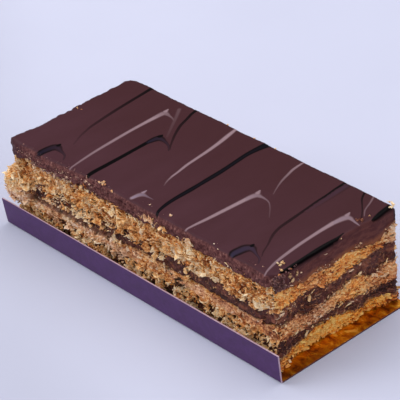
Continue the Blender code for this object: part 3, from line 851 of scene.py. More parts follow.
def side_bulge(way, x, y, z):
    """How far the coat of crumbs stands out of a coated side."""
    bulge = 0.5 + 0.8 * hills(x / 6.0 + 5.0 * way[0], y / 6.0 + 5.0 * way[1], z / 4.0)
    bulge += 0.5 * hills(x / 2.4, y / 2.4 + 5.0 * way[1], z / 2.0 + 30.0)
    bulge += 0.4 * smooth_step((12.5 - z) / 4.0) - 0.25 * smooth_step((z - 27.0) / 3.0)
    if z < 3.5:
        bulge -= 1.2 * (1.0 - smooth_step(z / 3.5))
    swell = along_line(z, CORNER_SWELL)
    if way[0] < -0.5:
        bulge += swell * smooth_step((-6.0 - y) / 12.0)
    elif way[1] < 0.0:
        bulge += (0.5 * swell) * smooth_step((-51.0 - x) / 8.0)
        bulge += 0.9 * smooth_step((z - 30.4) / 1.2)
    bulge -= (1.4 if way[1] < 0.0 and x < -53.0 else 0.7) * gap_at(way, x, y, z, 2.0)
    return min(bulge, 1.1) if way[1] > 0.7 else bulge


def inside_box(points, margin=0.03):
    """True when every point, in millimetres on the bar, is inside the frame's box and clear of the card."""
    put = points + (*BAR_MIDDLE, 0.0)
    low, high = (np.array(corner) / MM for corner in cad_box)
    if (put < low + margin).any() or (put > high - margin).any():
        return False
    behind_flap = (put[:, 2] > FLAP_TOP + 0.5) | (put[:, 1] > -25.75)
    return (behind_flap & (put[:, 2] > CARD_TOP + 0.08)).all()


def turned(axis, angle):
    return Matrix.Rotation(angle, 4, axis)


def tumbled(rng, place, size):
    """Puts a shape at a place, turned at random."""
    axis = Vector([rng.gauss(0.0, 1.0) for n in range(3)])
    return Matrix.Translation(place) @ turned(axis, rng.uniform(0.0, math.tau)) @ Matrix.Scale(size, 4)


def flake_matrix(rng, place, way, size, lean=0.45, spread=0.6):
    """Lays a flake on a wall, its free edge leaning out, with a spread around that."""
    turn = facing_matrix(way) @ turned("Y", rng.gauss(0.0, spread)) @ turned("X", rng.gauss(lean, spread))
    turn = turn @ turned("Z", math.pi / 2 + rng.gauss(0.0, 0.9))
    return Matrix.Translation(place) @ turn @ Matrix.Diagonal((size, size, size, 1.0))


def pastry_layer_at(z):
    """The pastry sheet that a crumb at height z belongs to."""
    return "pastry_bottom" if z < 9.0 else "pastry_middle" if z < 19.0 else "pastry_top"


# Coated sides and the left front corner: way out, and numbers of flakes and crumbs tried there.
COATED = (
    ((0.0, -1.0), 3600, 2200),
    ((0.0, 1.0), 2400, 1600),
    ((-1.0, 0.0), 1500, 1100),
    ((-0.71, -0.71), 560, 300),
)


def coat_sides(rng, flakes, crumbs):
    """Flakes and crumbs on the two long sides and the left end."""
    for way, flake_count, crumb_count in COATED:
        out = Vector((*way, 0.0))
        for number in range(flake_count + crumb_count):
            is_flake = number < flake_count
            middle, spread, largest = (0.38, 0.42, 3.4) if is_flake else (-0.5, 0.4, 1.1)
            size = min(rng.lognormvariate(middle, spread), largest)
            z = rng.uniform(1.2, 34.0)
            if way[0] and way[1]:
                along = rng.uniform(-1.0, 1.0) * (1.2 + 0.4 * max(along_line(z, CORNER_SWELL), 0.0))
                x, y = -LENGTH / 2 + 0.5 + along, -WIDTH / 2 + 0.5 - along
            elif way[1]:
                past = 0.5 + (0.4 * max(along_line(z, CORNER_SWELL), -0.5) if way[1] < 0.0 else 0.0)
                x, y = rng.uniform(-LENGTH / 2 - past, LENGTH / 2), way[1] * WIDTH / 2
            else:
                x, y = way[0] * LENGTH / 2, rng.uniform(-WIDTH / 2 - 0.5, WIDTH / 2 + 0.5)
            cover, stain = side_cover(way, x, y, z)
            span = 0.35 * size
            least = min(cover, side_cover(way, x, y, z + span)[0], side_cover(way, x, y, z - span)[0])
            gap = max(gap_at(way, x, y, z + rise, 0.9) for rise in (0.0, -span, span))
            if rng.random() > least * (1.0 - 0.92 * gap) * (1.0 - 0.9 * even_at(way, x, y, z)):
                continue
            depth = rng.uniform(-0.5 if way[0] and way[1] else 0.0, 0.8)
            place = Vector((x, y, z)) + out * (side_bulge(way, x, y, z) * cover - 0.9 * (1.0 - cover) - depth)
            tone, tint = pastry_shade(x, y, z, way)
            # Deeper flakes get a darker tone: painted shade in the crevices.
            tone = min(tone + 0.2 - 0.25 * depth + rng.gauss(0.0, 0.2), 0.96)
            stain += rng.gauss(-0.2, 0.12)
            if is_flake:
                matrix, shapes = flake_matrix(rng, place, out, size), FLAKE_SHAPES
            else:
                matrix, shapes = tumbled(rng, place + out * 0.3, size), CRUMB_SHAPES
            # A flake in a gap gets painted shade.
            entry = (rng.randrange(shapes), matrix, tone, stain, tint, 0.7 * gap)
            (flakes if is_flake else crumbs)[pastry_layer_at(z)].append(entry)


def coat_cut_end(rng, flakes, crumbs):
    """Broken leaves and crumbs on the right cut end, within the pastry sheets and strewn over the cream."""
    way = (1.0, 0.0)
    for layer, layer_name in enumerate(LAYERS):
        crumbly = layer_name.startswith("pastry")
        flake_count, crumb_count = (450, 1300) if crumbly else (240, 660)
        for number in range(flake_count + crumb_count):
            is_flake = number < flake_count
            x, y = LENGTH / 2, rng.uniform(-WIDTH / 2, WIDTH / 2)
            low, high = seam_height(layer - 1, x, y), seam_height(layer, x, y)
            level = rng.uniform(0.02, 0.98)
            if layer == 5:
                level = min(rng.expovariate(9.0), 0.9)
            z = low + (high - low) * level
            clump = hills(7.0, y / 2.6, z / 1.3) - (0.35 if layer == 1 and -15.0 < y < -4.0 else 0.0)
            mixed = smooth_step((-4.0 - y) / 6.0) if layer == 3 else 0.3
            if not crumbly and clump + 0.5 * mixed + abs(level - 0.5) < 0.4:
                continue
            reach = wall_reach(layer, x, y, z, level, way) - cut_recess(layer, x, y, level)
            place = Vector((x + reach + rng.uniform(-0.35, 0.1), y, z))
            tone, tint = pastry_shade(x, y, z, way)
            stain = stain_at(layer, level, high - low, x, y) + rng.gauss(-0.2, 0.15)
            if not crumbly:
                stain = rng.gauss(0.72 - 0.14 * mixed, 0.24) - 0.3 * abs(level - 0.5)
                tone, tint = tone - 0.15, min(tint, 1.6)
            name = layer_name if crumbly else LAYERS[min(layer + rng.choice((-1, 1)), 4)]
            if is_flake:
                size = min(rng.lognormvariate(0.15, 0.4), 2.8)
                spin = turned("Y", rng.gauss(0.0, 0.4)) @ turned("X", rng.gauss(-0.8, 0.5))
                spin = facing_matrix((*way, 0.0)) @ spin @ turned("Z", rng.gauss(0.1, 0.35))
                matrix = Matrix.Translation(place) @ spin @ Matrix.Diagonal((size, 0.5 * size, size, 1.0))
                shapes, lighter, spread = FLAKE_SHAPES, 0.08, 0.28
            else:
                size = min(rng.lognormvariate(-0.8, 0.4), 1.1)
                matrix = tumbled(rng, place, size)
                shapes, lighter, spread = CRUMB_SHAPES, 0.0, 0.3
            entry = (rng.randrange(shapes), matrix, tone + rng.gauss(lighter, spread), stain, tint, 0.0)
            (flakes if is_flake else crumbs)[name].append(entry)


# Large flakes that stand out: run along the front, height, size, width, turn in the wall, tone and tint.
LARGE_FLAKES = (
    (-12.6, 15.2, 4, 0.5, 1.45, 0.85, -0.6), (-11.2, 15.6, 1.8, 0.6, 1.8, 0.7, -0.2),
    (-24.6, 19.3, 3, 0.9, 0.9, 0.54, 0), (-18.6, 17.8, 2, 0.8, 0.3, 0.6, 0.3),
    (5.2, 16.2, 3.2, 0.7, 0.05, 0.8, 0.2), (50.6, 20.6, 3.6, 0.7, 0.45, 0.52, 0),
    (-45.5, 16.6, 2.6, 0.5, 0.2, 0.8, 0.5), (8, 30.4, 2.6, 0.8, 1.6, 0.8, 0.3),
    (12.6, 29.4, 2.2, 0.5, 1.4, 0.8, 0.2), (27.2, 21.4, 3, 0.7, 0.4, 0.78, 0.2),
    (35, 25.4, 3.4, 0.8, 1.5, 0.66, 0.1), (38.6, 25.4, 3.2, 0.8, 1.4, 0.62, 0),
    (42, 24.8, 3.4, 0.7, 1.35, 0.64, 0), (-36.2, 28.4, 1.4, 0.9, 0.3, 1, 0.3),
    (-33.6, 28.2, 1.3, 0.9, 1.2, 1, 0.3), (-54.8, 28, 2.6, 0.8, 1.5, 0.7, 0),
    (-50.2, 27.4, 1.5, 0.9, 1.3, 0.95, 0.3), (21.6, 16.6, 2.4, 0.8, 1.3, 0.7, 0),
    (21.2, 18.4, 2.2, 0.8, 1.8, 0.66, 0), (-26.2, 28.4, 2.2, 0.8, 1.5, 0.7, 0.2),
    (57.6, 28.6, 3.2, 0.6, 0.5, 0.64, 0), (-64.4, 21, 4, 0.16, 2.9, 0.65, 0.3),
    (2.6, 30.2, 2, 0.8, 0.5, 0.55, 0.6), (4.8, 31.2, 2.2, 0.7, 1.1, 0.6, 0.6),
    (7.8, 31.8, 2.2, 0.9, 2.2, 0.6, 0.7), (9, 31.2, 1.8, 0.9, 0.8, 0.55, 0.6),
    (11.6, 30.6, 2, 0.9, 0.4, 0.5, 0.5), (25.6, 31.8, 2.2, 0.8, 1.5, 0.7, 0.5),
    (-54.4, 30.6, 2.4, 0.7, 1.4, 0.7, 0.6),
)
CUT_FLAKES = (
    (3.6, 16.9, 4.6, 0.28, 0.2, 0.86, 0), (7.4, 17.8, 5, 0.26, 0.06, 0.8, 0.2),
    (14.8, 14.6, 5.4, 0.34, -0.5, 0.84, 0.5), (18.4, 12.6, 4.8, 0.4, -0.5, 0.78, 0.5),
    (16.8, 15, 3.6, 0.3, -0.55, 0.7, 0.7), (20.4, 14.6, 3.4, 0.5, 1.45, 0.86, 0.1),
    (20.9, 16.4, 2.2, 0.6, 1.2, 0.8, 0), (-13.4, 8.6, 3.2, 0.5, 0.9, 0.92, -0.5),
    (-11.4, 9.2, 2.6, 0.4, 0.7, 0.8, -0.5), (-17.6, 10.8, 2.2, 0.5, 0.3, 0.85, -0.3),
    (-11.2, 20, 2.6, 0.6, 1.2, 0.72, -0.3), (-9.8, 21.6, 2, 0.6, 0.6, 0.7, -0.3),
    (3.2, 9.6, 3.4, 0.35, 0.15, 0.9, -0.4), (0.6, 11.2, 2.6, 0.3, 0.3, 0.7, -0.4),
    (-22.6, 21.6, 2.4, 0.5, -0.4, 0.85, 0), (-17.6, 29.8, 2.2, 0.9, 0.4, 0.55, -1),
    (-15.4, 30.8, 2, 0.9, 1.2, 0.5, -1), (-18.2, 31.8, 1.8, 0.9, 0.9, 0.35, -1),
    (-3.8, 16.4, 1.6, 0.5, 1.3, 0.6, 0.6), (-8.4, 23.4, 2, 0.5, 0.5, 0.75, 0.4),
    (12, 9.4, 1.8, 0.4, 0.4, 0.5, 0.5), (-20.8, 3.6, 2.6, 0.4, -1.2, 0.8, -0.2),
    (22.4, 26, 2.4, 0.6, 1, 0.8, 0), (24, 15.4, 2.4, 0.6, 0.3, 0.8, 0.1),
)
# Loose crumbs on top: x, y, size, tone and tint.
TOP_CRUMBS = (
    (56.8, -18, 1.9, 0.55, -1), (57.3, -18.6, 1.2, 0.5, -1), (58.7, -20, 1.7, 0.52, -1),
    (-17, -23.4, 1.7, 0.55, 0.6), (-15.6, -23.9, 1.1, 0.45, 0.6), (-11, -24.6, 1.1, 0.5, 0.6),
    (13.2, -21.7, 1.1, 0.7, 0.9), (58.8, 15, 1.9, -0.1, 0.9), (58, 13.8, 1.7, -0.1, 0.9),
    (58.9, 12.6, 1.6, -0.1, 0.9), (57.4, 12.4, 1.2, -0.1, 0.9), (58.3, 16.4, 0.8, 0.4, 0.5),
    (59.4, 3.6, 0.6, 0.95, 0.4), (60.2, 2.9, 0.5, 0.8, 0.2), (-13, 25.2, 0.8, 0.8, 0.2),
    (-10.6, 24.8, 0.8, 0.8, 0.2), (-0.4, 25, 0.9, 0.7, 0), (6.6, 24.2, 0.7, 0.95, 0.4),
    (9.2, 24.9, 0.9, 0.75, 0.2), (10.4, 24.6, 0.7, 0.8, 0.2), (19, 24.2, 0.8, 0.7, 0.2),
    (21, 24.4, 0.7, 0.5, 0.4), (34.6, -23.6, 0.7, 0.95, 0.9), (37, -24.2, 0.6, 0.9, 0.6),
    (58.4, 25, 1.2, 0.85, -0.5), (59.7, 24.9, 1.4, 0.95, -0.4), (60.7, 24.2, 1.3, 0.9, -0.5),
    (61, 23, 1, 0.85, -0.4), (-58.6, 0.6, 0.9, 0.6, 0.5), (-56.8, 1, 0.6, 0.6, 0.5),
    (60.2, -17.4, 0.7, 0.2, 0.4), (59.9, -21.6, 0.9, 0.2, 0.4),
)


def lay_large_pieces(rng, flakes, crumbs):
    """The large flakes on the front and the right end and the loose crumbs on top, where they are seen."""
    for way, listed in (((0.0, -1.0, 0.0), LARGE_FLAKES), ((1.0, 0.0, 0.0), CUT_FLAKES)):
        for run, z, size, width, turn, tone, tint in listed:
            if way[1]:
                place = (run, -WIDTH / 2 - max(side_bulge(way, run, -WIDTH / 2, z), 0.2) - 0.2, z)
            else:
                place = (LENGTH / 2 + (0.5 if z > 28.5 else 0.1), run, z)
                size = 0.72 * size
            matrix = Matrix.Translation(place) @ facing_matrix(way) @ turned("Z", turn)
            matrix = matrix @ turned("X", rng.uniform(0.0, 0.3))
            matrix = matrix @ Matrix.Diagonal((size, width * size * 1.2, 0.5 * size, 1.0))
            entry = (rng.randrange(FLAKE_SHAPES), matrix, tone - 0.1, 0.0, tint, 0.0)
            flakes[pastry_layer_at(z)].append(entry)
    for x, y, size, tone, tint in TOP_CRUMBS:
        sunk = -0.7 if x > 58.0 and y > 20.0 else 0.5 if abs(y) > 24.0 or x > 58.5 else 0.1
        for part in range(4):
            shift = Vector((rng.uniform(-0.45, 0.45), rng.uniform(-0.45, 0.45), 0.0)) * size
            bit = size * rng.uniform(0.45, 0.85)
            place = Vector((x, y, LAYER_TOPS["glaze"] - sunk + 0.22 * bit)) + shift
            matrix = tumbled(rng, place, bit)
            entry = (rng.randrange(CRUMB_SHAPES), matrix, tone + rng.gauss(0.0, 0.08), 0.0, tint, 0.0)
            crumbs["pastry_top"].append(entry)


def coat_bar(finish):
    """The flakes and crumbs of each pastry sheet."""
    rng = random.Random(COAT_SEED)
    flakes = {name: [] for name in LAYERS if name.startswith("pastry")}
    crumbs = {name: [] for name in flakes}
    coat_sides(rng, flakes, crumbs)
    coat_cut_end(rng, flakes, crumbs)
    lay_large_pieces(rng, flakes, crumbs)
    for name in flakes:
        finished(name + "_flakes", scattered(flake_kinds(rng, FLAKE_SHAPES), flakes[name]), finish, "pastry")
        finished(name + "_crumbs", scattered(crumb_kinds(rng, CRUMB_SHAPES), crumbs[name]), finish, "pastry")


# The glaze

# Squares of its top, rings down its sides, and how far in the rings under it lie.
GLAZE_GRID = (280, 114)
GLAZE_RINGS = 14
GLAZE_CAP = (3.0, 5.0)
# Strokes drawn through the glaze, and painted edge shadows: strength at each end, sheen, and points (x, y,
# width).
DARK_STROKES_AND_EDGE_SHADOWS = (
    (1, 0.2, 0, ((-49.4, 25.5, 1.2), (-48.9, 19.9, 1.1), (-48, 10.3, 1.1), (-47.2, 4.1, 1.1),
        (-46, -3.4, 0.9), (-45.2, -6.3, 0.7), (-43.9, -10.1, 0.6), (-41.6, -14.7, 0.4))),
    (0.4, 1, 0.3, ((-36.8, -22.8, 0.4), (-38.3, -21, 0.6), (-40, -20.3, 0.8), (-42, -19.9, 1.4),
        (-43.6, -19.5, 2.3), (-44.8, -19.7, 3.1), (-45.4, -21, 2.9), (-45.7, -23, 2.7), (-46, -25.8, 2.2))),
    (1, 1, 0, ((-45, -17.4, 0.5), (-44.8, -18.8, 1.7))),
    (1, 0.5, 0, ((-27.3, 25.3, 1), (-26.6, 22, 0.9), (-25.3, 18.7, 0.9), (-23.9, 14.9, 0.9), (-22, 11.6, 0.8),
        (-20.1, 8.7, 0.7), (-17.5, 5.3, 0.5), (-15.4, 3, 0.3))),
    (0.5, 1, 0.35, ((-15.2, 2.2, 0.3), (-17.2, 4, 0.6), (-19.2, 4.9, 0.9), (-21, 5.3, 1.3), (-22.6, 5.4, 2.2),
        (-23.6, 4.8, 2.6), (-24, 3, 2), (-24.2, 1, 1.4))),
    (1, 1, 0, ((-24, 7.3, 0.5), (-23.8, 5.8, 1.9))),
    (1, 1, 0, ((-24.2, 1.4, 1.4), (-24.1, -4, 1.3), (-23.9, -10, 1.4), (-23.8, -16, 1.5), (-23.8, -21, 1.5),
        (-23.4, -24, 1.3), (-22.9, -25.8, 1.1))),
    (1, 1, 0.1, ((6.2, 25.2, 2.6), (5.6, 21, 2), (5.4, 16.6, 1.6), (5.8, 12.4, 1.5), (6.25, 8.2, 1.5),
        (6.6, 4.1, 1.6), (6.8, -0.1, 1.6), (7, -4.3, 1.5), (7.2, -9.7, 1.6), (7.3, -14.7, 1.4),
        (7.7, -18.8, 1.2), (8.7, -22.6, 0.9), (10.4, -25.1, 0.6))),
    (1, 0.4, 0, ((40.3, 25.2, 0.9), (40.5, 20.3, 0.8), (41, 16.2, 0.9), (41.2, 12, 0.9), (41.6, 7.8, 0.9),
        (42, 3.7, 0.9), (42.4, -0.5, 1), (42.8, -4.7, 0.9), (43.7, -8, 0.8), (44.9, -10.5, 0.7),
        (46.6, -13.4, 0.5), (48.3, -16.8, 0.4), (49.7, -18.7, 0.3))),
    (0.35, 0.1, 1, ((41.6, 25, 2.4), (42, 19, 2.4), (42.4, 12, 2), (42.8, 6, 1.4))),
    (0.9, 0.5, 0, ((48.3, 25, 0.6), (50.3, 21.6, 0.5), (52.8, 19.1, 0.4), (55.3, 16.6, 0.4),
        (58.7, 12.6, 0.4))),
    (0.4, 0.95, 0.8, ((51.6, -21.9, 0.4), (50, -20, 0.6), (47.8, -19.1, 0.8), (45.8, -18.3, 1.6),
        (44.3, -18, 2.7), (43.2, -19, 3.3), (42.8, -20.7, 3.2), (42.6, -22.5, 3), (42.7, -24, 2))),
    (1, 1, 0, ((43.4, -16.1, 0.5), (43.7, -17.3, 1.5))),
    # The last two are painted shadows along the right cut edge, not strokes.
    (1, 1, 0, ((59.1, 5, 0.3), (59.5, 2.5, 0.7), (59.8, -1, 1.7), (60, -6, 2.2), (60, -11, 1.8),
        (59.8, -16, 1.2), (59.6, -21, 0.4))),
    (1, 1, 0, ((59.5, 25, 1.7), (60, 21.5, 2), (60.3, 18.5, 1.6), (60.6, 15.4, 0.6))),
)
LIGHT_STROKES = (
    (0.15, 0.9, 0, ((-27.4, 15.4, 0.5), (-29.5, 16.3, 0.8), (-31.5, 16.7, 1.2), (-33.1, 16.9, 2.2),
        (-34, 16.6, 2.8), (-34.2, 15, 2.4), (-34.2, 13, 2.2))),
    (0.8, 0.9, 0, ((-34.9, 19.3, 0.5), (-34.4, 17.6, 2))),
    (1, 0.5, 0, ((-34.2, 13.5, 2.2), (-34.1, 8, 1.8), (-33.9, 2, 1.6), (-33.5, -5, 1.6), (-33, -12, 1.4),
        (-32.3, -18, 1.2), (-31.2, -24.8, 0.8))),
    (1, 0.8, 0, ((-8.6, 25.3, 1.3), (-7.5, 20.3, 1.9), (-6.5, 15.8, 1.8), (-5.6, 10.3, 1.6), (-5, 5.3, 1.4),
        (-4.4, 0.3, 1.3), (-3.5, -3.8, 1.1), (-2.9, -7.2, 0.9))),
    (0.7, 0.1, 0, ((-2.9, -7, 0.9), (-2.1, -9.7, 0.7), (-0.8, -12.2, 0.4))),
    (0.2, 0.9, 0.8, ((2.5, -19.4, 0.4), (0.5, -19.5, 0.8), (-1.2, -19.6, 1.5), (-2.4, -20, 2.6),
        (-2.9, -21.3, 2.2), (-3.1, -23, 1.8))),
    (0.8, 0.9, 0.5, ((-2.9, -17.4, 0.5), (-2.8, -18.9, 1.6))),
    (0.8, 0.2, 0, ((22.2, 25.3, 0.9), (22.6, 20.3, 1.2), (23.5, 17, 1.1), (24.7, 13.2, 0.9), (26.2, 9.9, 0.6),
        (28.2, 6.2, 0.4))),
    (0.1, 0.9, 0.2, ((36.6, -3.4, 0.4), (33, 0.3, 0.5), (30.3, 2.3, 0.6), (27.8, 2.8, 1), (26, 2.7, 1.8),
        (24.8, 2.4, 2.8), (24.2, 0.7, 2.5), (24, -1.5, 2.1))),
    (0.8, 0.9, 0, ((23.6, 5.1, 0.5), (24.2, 3.5, 2))),
    (1, 0.8, 0, ((24, -1, 2.1), (23.7, -6, 1.9), (23.4, -11, 1.8), (23.1, -16, 1.6), (22.7, -20, 1.3),
        (22.4, -24.4, 0.8))),
    (0.45, 0.3, 0, ((52, 25, 0.8), (53.7, 21.6, 0.7), (55.3, 17.8, 0.6), (57.4, 15.3, 0.5))),
    (0.6, 0.9, 0.3, ((59.8, 10.8, 0.4), (58.2, 11.1, 0.9), (56.3, 11.5, 1.3), (54.9, 11.7, 2.2),
        (53.9, 11.1, 3), (53.4, 9, 2.5), (53.1, 6.5, 2))),
    (0.8, 0.9, 0.1, ((52.8, 13.9, 0.5), (53.3, 12.2, 1.9))),
    (1, 0.6, 0, ((53.1, 7, 2.1), (53.1, 2, 1.7), (53.3, -3, 1.5), (53.6, -8, 1.5), (54.2, -13.5, 1.4),
        (54.9, -18, 1.2), (56, -22, 0.9), (57.2, -25, 0.6))),
    (0.2, 0.05, 0, ((-32, 21.5, 1.6), (-29, 17.5, 1.4), (-25.5, 12.5, 1.2), (-22, 7.5, 0.8))),
)


def stroke_marks(flat, strokes, fullness):
    """For each (x, y): how far the nearest stroke is, in half widths, and its strength and sheen there."""
    near = np.full(len(flat), 9.0)
    strength, gloss = np.zeros(len(flat)), np.zeros(len(flat))
    for strong_start, strong_end, sheen, points in strokes:
        path = smooth_path(np.array(points, float))
        for number in range(len(path) - 1):
            start, run = path[number, :2], path[number + 1, :2] - path[number, :2]
            share = np.clip(((flat - start) @ run) / (run @ run), 0.0, 1.0)
            half = fullness * (path[number, 2] + (path[number + 1, 2] - path[number, 2]) * share)
            distance = np.hypot(*(flat - start - share[:, None] * run).T) / half
            along = (number + share) / (len(path) - 1)
            closer = distance < near
            near = np.where(closer, distance, near)
            strength = np.where(closer, strong_start + (strong_end - strong_start) * along, strength)
            gloss = np.where(closer, sheen, gloss)
    return np.stack([near, strength, gloss], axis=1)


def smooth_path(path, steps=5):
    """A curve through the points, with `steps` short runs between each two."""
    ends = np.concatenate([[2 * path[0] - path[1]], path, [2 * path[-1] - path[-2]]])
    curve = []
    for number in range(len(path) - 1):
        a, b, c, d = ends[number : number + 4]
        for t in np.arange(steps) / steps:
            bend, sway = 2 * a - 5 * b + 4 * c - d, 3 * b - a - 3 * c + d
            curve.append(0.5 * (2 * b + (c - a) * t + bend * t**2 + sway * t**3))
    return np.array([*curve, path[-1]])


def glaze_piece(finish):
    """The block of glaze: a fine flat top, a rough front rim and smooth cut ends."""
    shape = bmesh.new()
    bmesh.ops.create_grid(shape, x_segments=GLAZE_GRID[0], y_segments=GLAZE_GRID[1], size=0.5)
    bmesh.ops.scale(shape, vec=(LENGTH, WIDTH, 1.0), verts=shape.verts)
    middles = np.array([face.calc_center_median()[:2] for face in shape.faces])
    drawn = stroke_marks(middles, DARK_STROKES_AND_EDGE_SHADOWS, 0.6)[:, 0]
    drawn = np.minimum(drawn, stroke_marks(middles, LIGHT_STROKES, 0.5)[:, 0])
    edges = {edge for face, near in zip(shape.faces, drawn) if near < 1.7 for edge in face.edges}
    inner = [edge for edge in edges if not edge.is_boundary]
    bmesh.ops.subdivide_edges(shape, edges=inner, cuts=1, use_grid_fill=True)
    rim = [edge for edge in shape.edges if edge.is_boundary]
    for ring in range(GLAZE_RINGS):
        rim, lower = extruded(shape, rim)
        bmesh.ops.translate(shape, vec=(0.0, 0.0, -1.0 / GLAZE_RINGS), verts=lower)
    capped(shape, rim, GLAZE_CAP)
    bmesh.ops.recalc_face_normals(shape, faces=shape.faces)
    marks = []
    for vert in shape.verts:
        x, y, level = vert.co
        place, mark = glaze_place(x, y, -level)
        vert.co = place
        marks.append(mark)
    shape.normal_update()
    for vert, (rough, cut, glow) in zip(shape.verts, marks):
        x, y, z = vert.co
        lumps = 0.7 * hills(x / 2.4, y / 2.4, z / 2.4) + 0.6 * hills(x, y, z + 9.0)
        if y < 0:
            lumps *= 1.0 - 0.55 * smoother_rim(x)
        scratches = 0.15 * hills(x / 1.2, y / 3.0, z / 1.5)
        vert.co += vert.normal * (rough * lumps + cut * scratches)
        vert.co.x += 0.3 * rough * hills(x / 0.7, y / 0.7, z / 0.9 + 20.0)
    points = np.array([vert.co for vert in shape.verts])
    # Lower near the right end, so that the painted edge shadows reach over its rounded edge.
    lowest = np.where(points[:, 0] > 58.0, 33.1, 33.4)
    rough, cut, glow = np.array(marks).T
    mesh = marked(
        mesh_of(shape),
        rough=rough,
        cut=cut,
        glow=glow,
        dark_stroke=stroke_marks(points[:, :2], DARK_STROKES_AND_EDGE_SHADOWS, 0.62),
        light_stroke=stroke_marks(points[:, :2], LIGHT_STROKES, 0.5),
        on_top=np.clip((points[:, 2] - lowest) / 0.5, 0.0, 1.0),
    )
    return finished("glaze_block", mesh, finish, "glaze", "glaze", smooth=True)


def front_rim(x):
    """How far the glaze stands out over the front."""
    return 1.6 - 2.0 * smooth_step((x + 45.0) / 40.0)


def smoother_rim(x):
    """1 along the part of the front rim that is smoother, 0 elsewhere."""
    return smooth_step((x - 20.0) / 6.0) * smooth_step((52.0 - x) / 6.0)


def glaze_place(x, y, depth):
    """Where a point of the glaze lies, and how rough, cut and glowing it is there. Depth is from 0 to 1."""
    in_x, in_y = LENGTH / 2 - abs(x), WIDTH / 2 - abs(y)
    front, left = y < 0, x < 0
    rounding = 1.6 if front else 1.1
    inside = min(in_x * (1.0 if left else 1.5), in_y)
    top = seam_height(LAYERS.index("glaze"), x, y)
    low = seam_height(LAYERS.index("pastry_top"), x, y) + HALF_GAP
    step = max(rounding - inside, 0.0)
    drop = rounding - math.sqrt(max(rounding**2 - step**2, 0.0))
    z = top - drop
    if depth > 0:
        z = z + (low - z) * depth
    rim = front_rim(x) if front else 1.1
    rim += (0.4 if front else 0.3) * ripple(x, math.copysign(40.0, y), 0.3 * z, 6.0, 5)
    end = 0.25 + 0.9 * hump(y, 17.0, 4.0)
    if left:
        end = 0.6 + 0.8 * ripple(-60.0, y, 0.3 * z, 4.0, 8) + 0.4 * ripple(-60.0, y, 0.3 * z, 1.3, 8)
        end += 1.9 * hump(y, -WIDTH / 2, 4.0) - 1.3 * hump(y, 0.5, 2.0)
    near_y, near_x = smooth_step(1.0 - in_y / 4.0), smooth_step(1.0 - in_x / 4.0)
    corner_x, corner_y = 1.0 - min(in_x / 2.6, 1.0), 1.0 - min(in_y / 2.6, 1.0)
    x += math.copysign(end * near_x, x)
    y += math.copysign(rim * near_y, y)
    over = corner_x * corner_y * (0.75 if front and left else 1.0 if front or left else 0.1)
    x -= math.copysign(1.1 * over, x)
    y -= math.copysign(1.1 * over, y)
    side = smooth_step(1.0 - in_y / 1.2) if front else 0.25 * smooth_step(1.0 - in_y / 0.8)
    side *= 0.5 + 0.5 * smooth_step((x + 57.0) / 5.0)
    if left:
        side = max(side, (0.3 + 0.4 * smooth_step((-12.0 - y) / 6.0)) * smooth_step(1.0 - in_x / 1.0))
    cut = float(depth > 0 and not left and in_x < 0.2 and in_y > 0.5)
    if cut:
        side = smooth_step(1.0 - (in_y - 2.5) / 7.0) * (0.9 if front else 0.2)
        x -= 0.5 * hump(y, -6.0, 7.0) * smooth_step(depth / 0.1) * smooth_step(1.0 - depth / 0.45)
    glow = smooth_step((depth - 0.62) / 0.38) if cut else 0.0
    if not left and depth == 0.0:
        cut = 0.6 * smooth_step(1.0 - in_x / 1.1)
    return (x, y, z), (side, cut * (1.0 - side), glow)


def glaze_bits(finish):
    """Chocolate-coated crumbs along the glaze's rough front edge, with a few on the other sides."""
    rng = random.Random(GLAZE_SEED)
    places = []
    for way, count in (((0.0, -1.0), 1700), ((0.0, 1.0), 500), ((-1.0, 0.0), 200), ((1.0, 0.0), 220)):
        out = Vector((*way, 0.0))
        for number in range(count):
            if way[0] > 0.0:
                y, z = -WIDTH / 2 + 0.3 + min(rng.expovariate(0.36), 9.0), rng.uniform(28.6, 34.0)
                place = Vector((LENGTH / 2 + rng.uniform(-0.1, 0.35), y, z))
                matrix = tumbled(rng, place, 1.0) @ Matrix.Scale(rng.uniform(0.5, 1.3), 4)
                places.append((rng.randrange(CRUMB_SHAPES), matrix, rng.gauss(0.34, 0.24), 0.0, 0.0, 0.0))
                continue
            if way[1]:
                x, y = rng.uniform(-LENGTH / 2, LENGTH / 2), way[1] * WIDTH / 2
            else:
                x, y = way[0] * LENGTH / 2, rng.uniform(-WIDTH / 2, WIDTH / 2)
            run = x if way[1] < 0 else -x if way[1] > 0 else -50.0
            edge = along_line(run, CRUMB_EDGE)
            z = rng.uniform(edge - 1.2, 34.0 if way[1] < 0 else edge + 1.0)
            rim = front_rim(x) if way[1] < 0 else 0.3
            if way[1] < 0 and rng.random() > smooth_step((x + 59.0) / 4.0) * (1.0 - 0.6 * smoother_rim(x)):
                continue
            place = Vector((x, y, z)) + out * (rim + rng.uniform(-0.75, -0.15))
            if z > 32.8:
                place -= out * rng.uniform(0.4, 1.8)
                place.z = rng.uniform(33.6, 34.05)
            size = min(rng.lognormvariate(-0.25, 0.4), 1.7) * (0.7 if z > 32.8 else 1.0)
            matrix = tumbled(rng, place, size)
            paler = 0.15 * smooth_step((-26.0 - run) / 8.0)
            tone = 1.0 if rng.random() < 0.05 else rng.gauss(0.55 + paler, 0.16)
            places.append((rng.randrange(CRUMB_SHAPES), matrix, tone, 0.0, 0.0, 0.0))
    return finished("glaze_bits", scattered(crumb_kinds(rng, CRUMB_SHAPES), places), finish, "glaze")


# The card

# Strips from its back edge to the flap's top, of which some are the flat base and some the fold.
CARD_RUNS = 40
BASE_RUNS = 18
FOLD_RUNS = 10


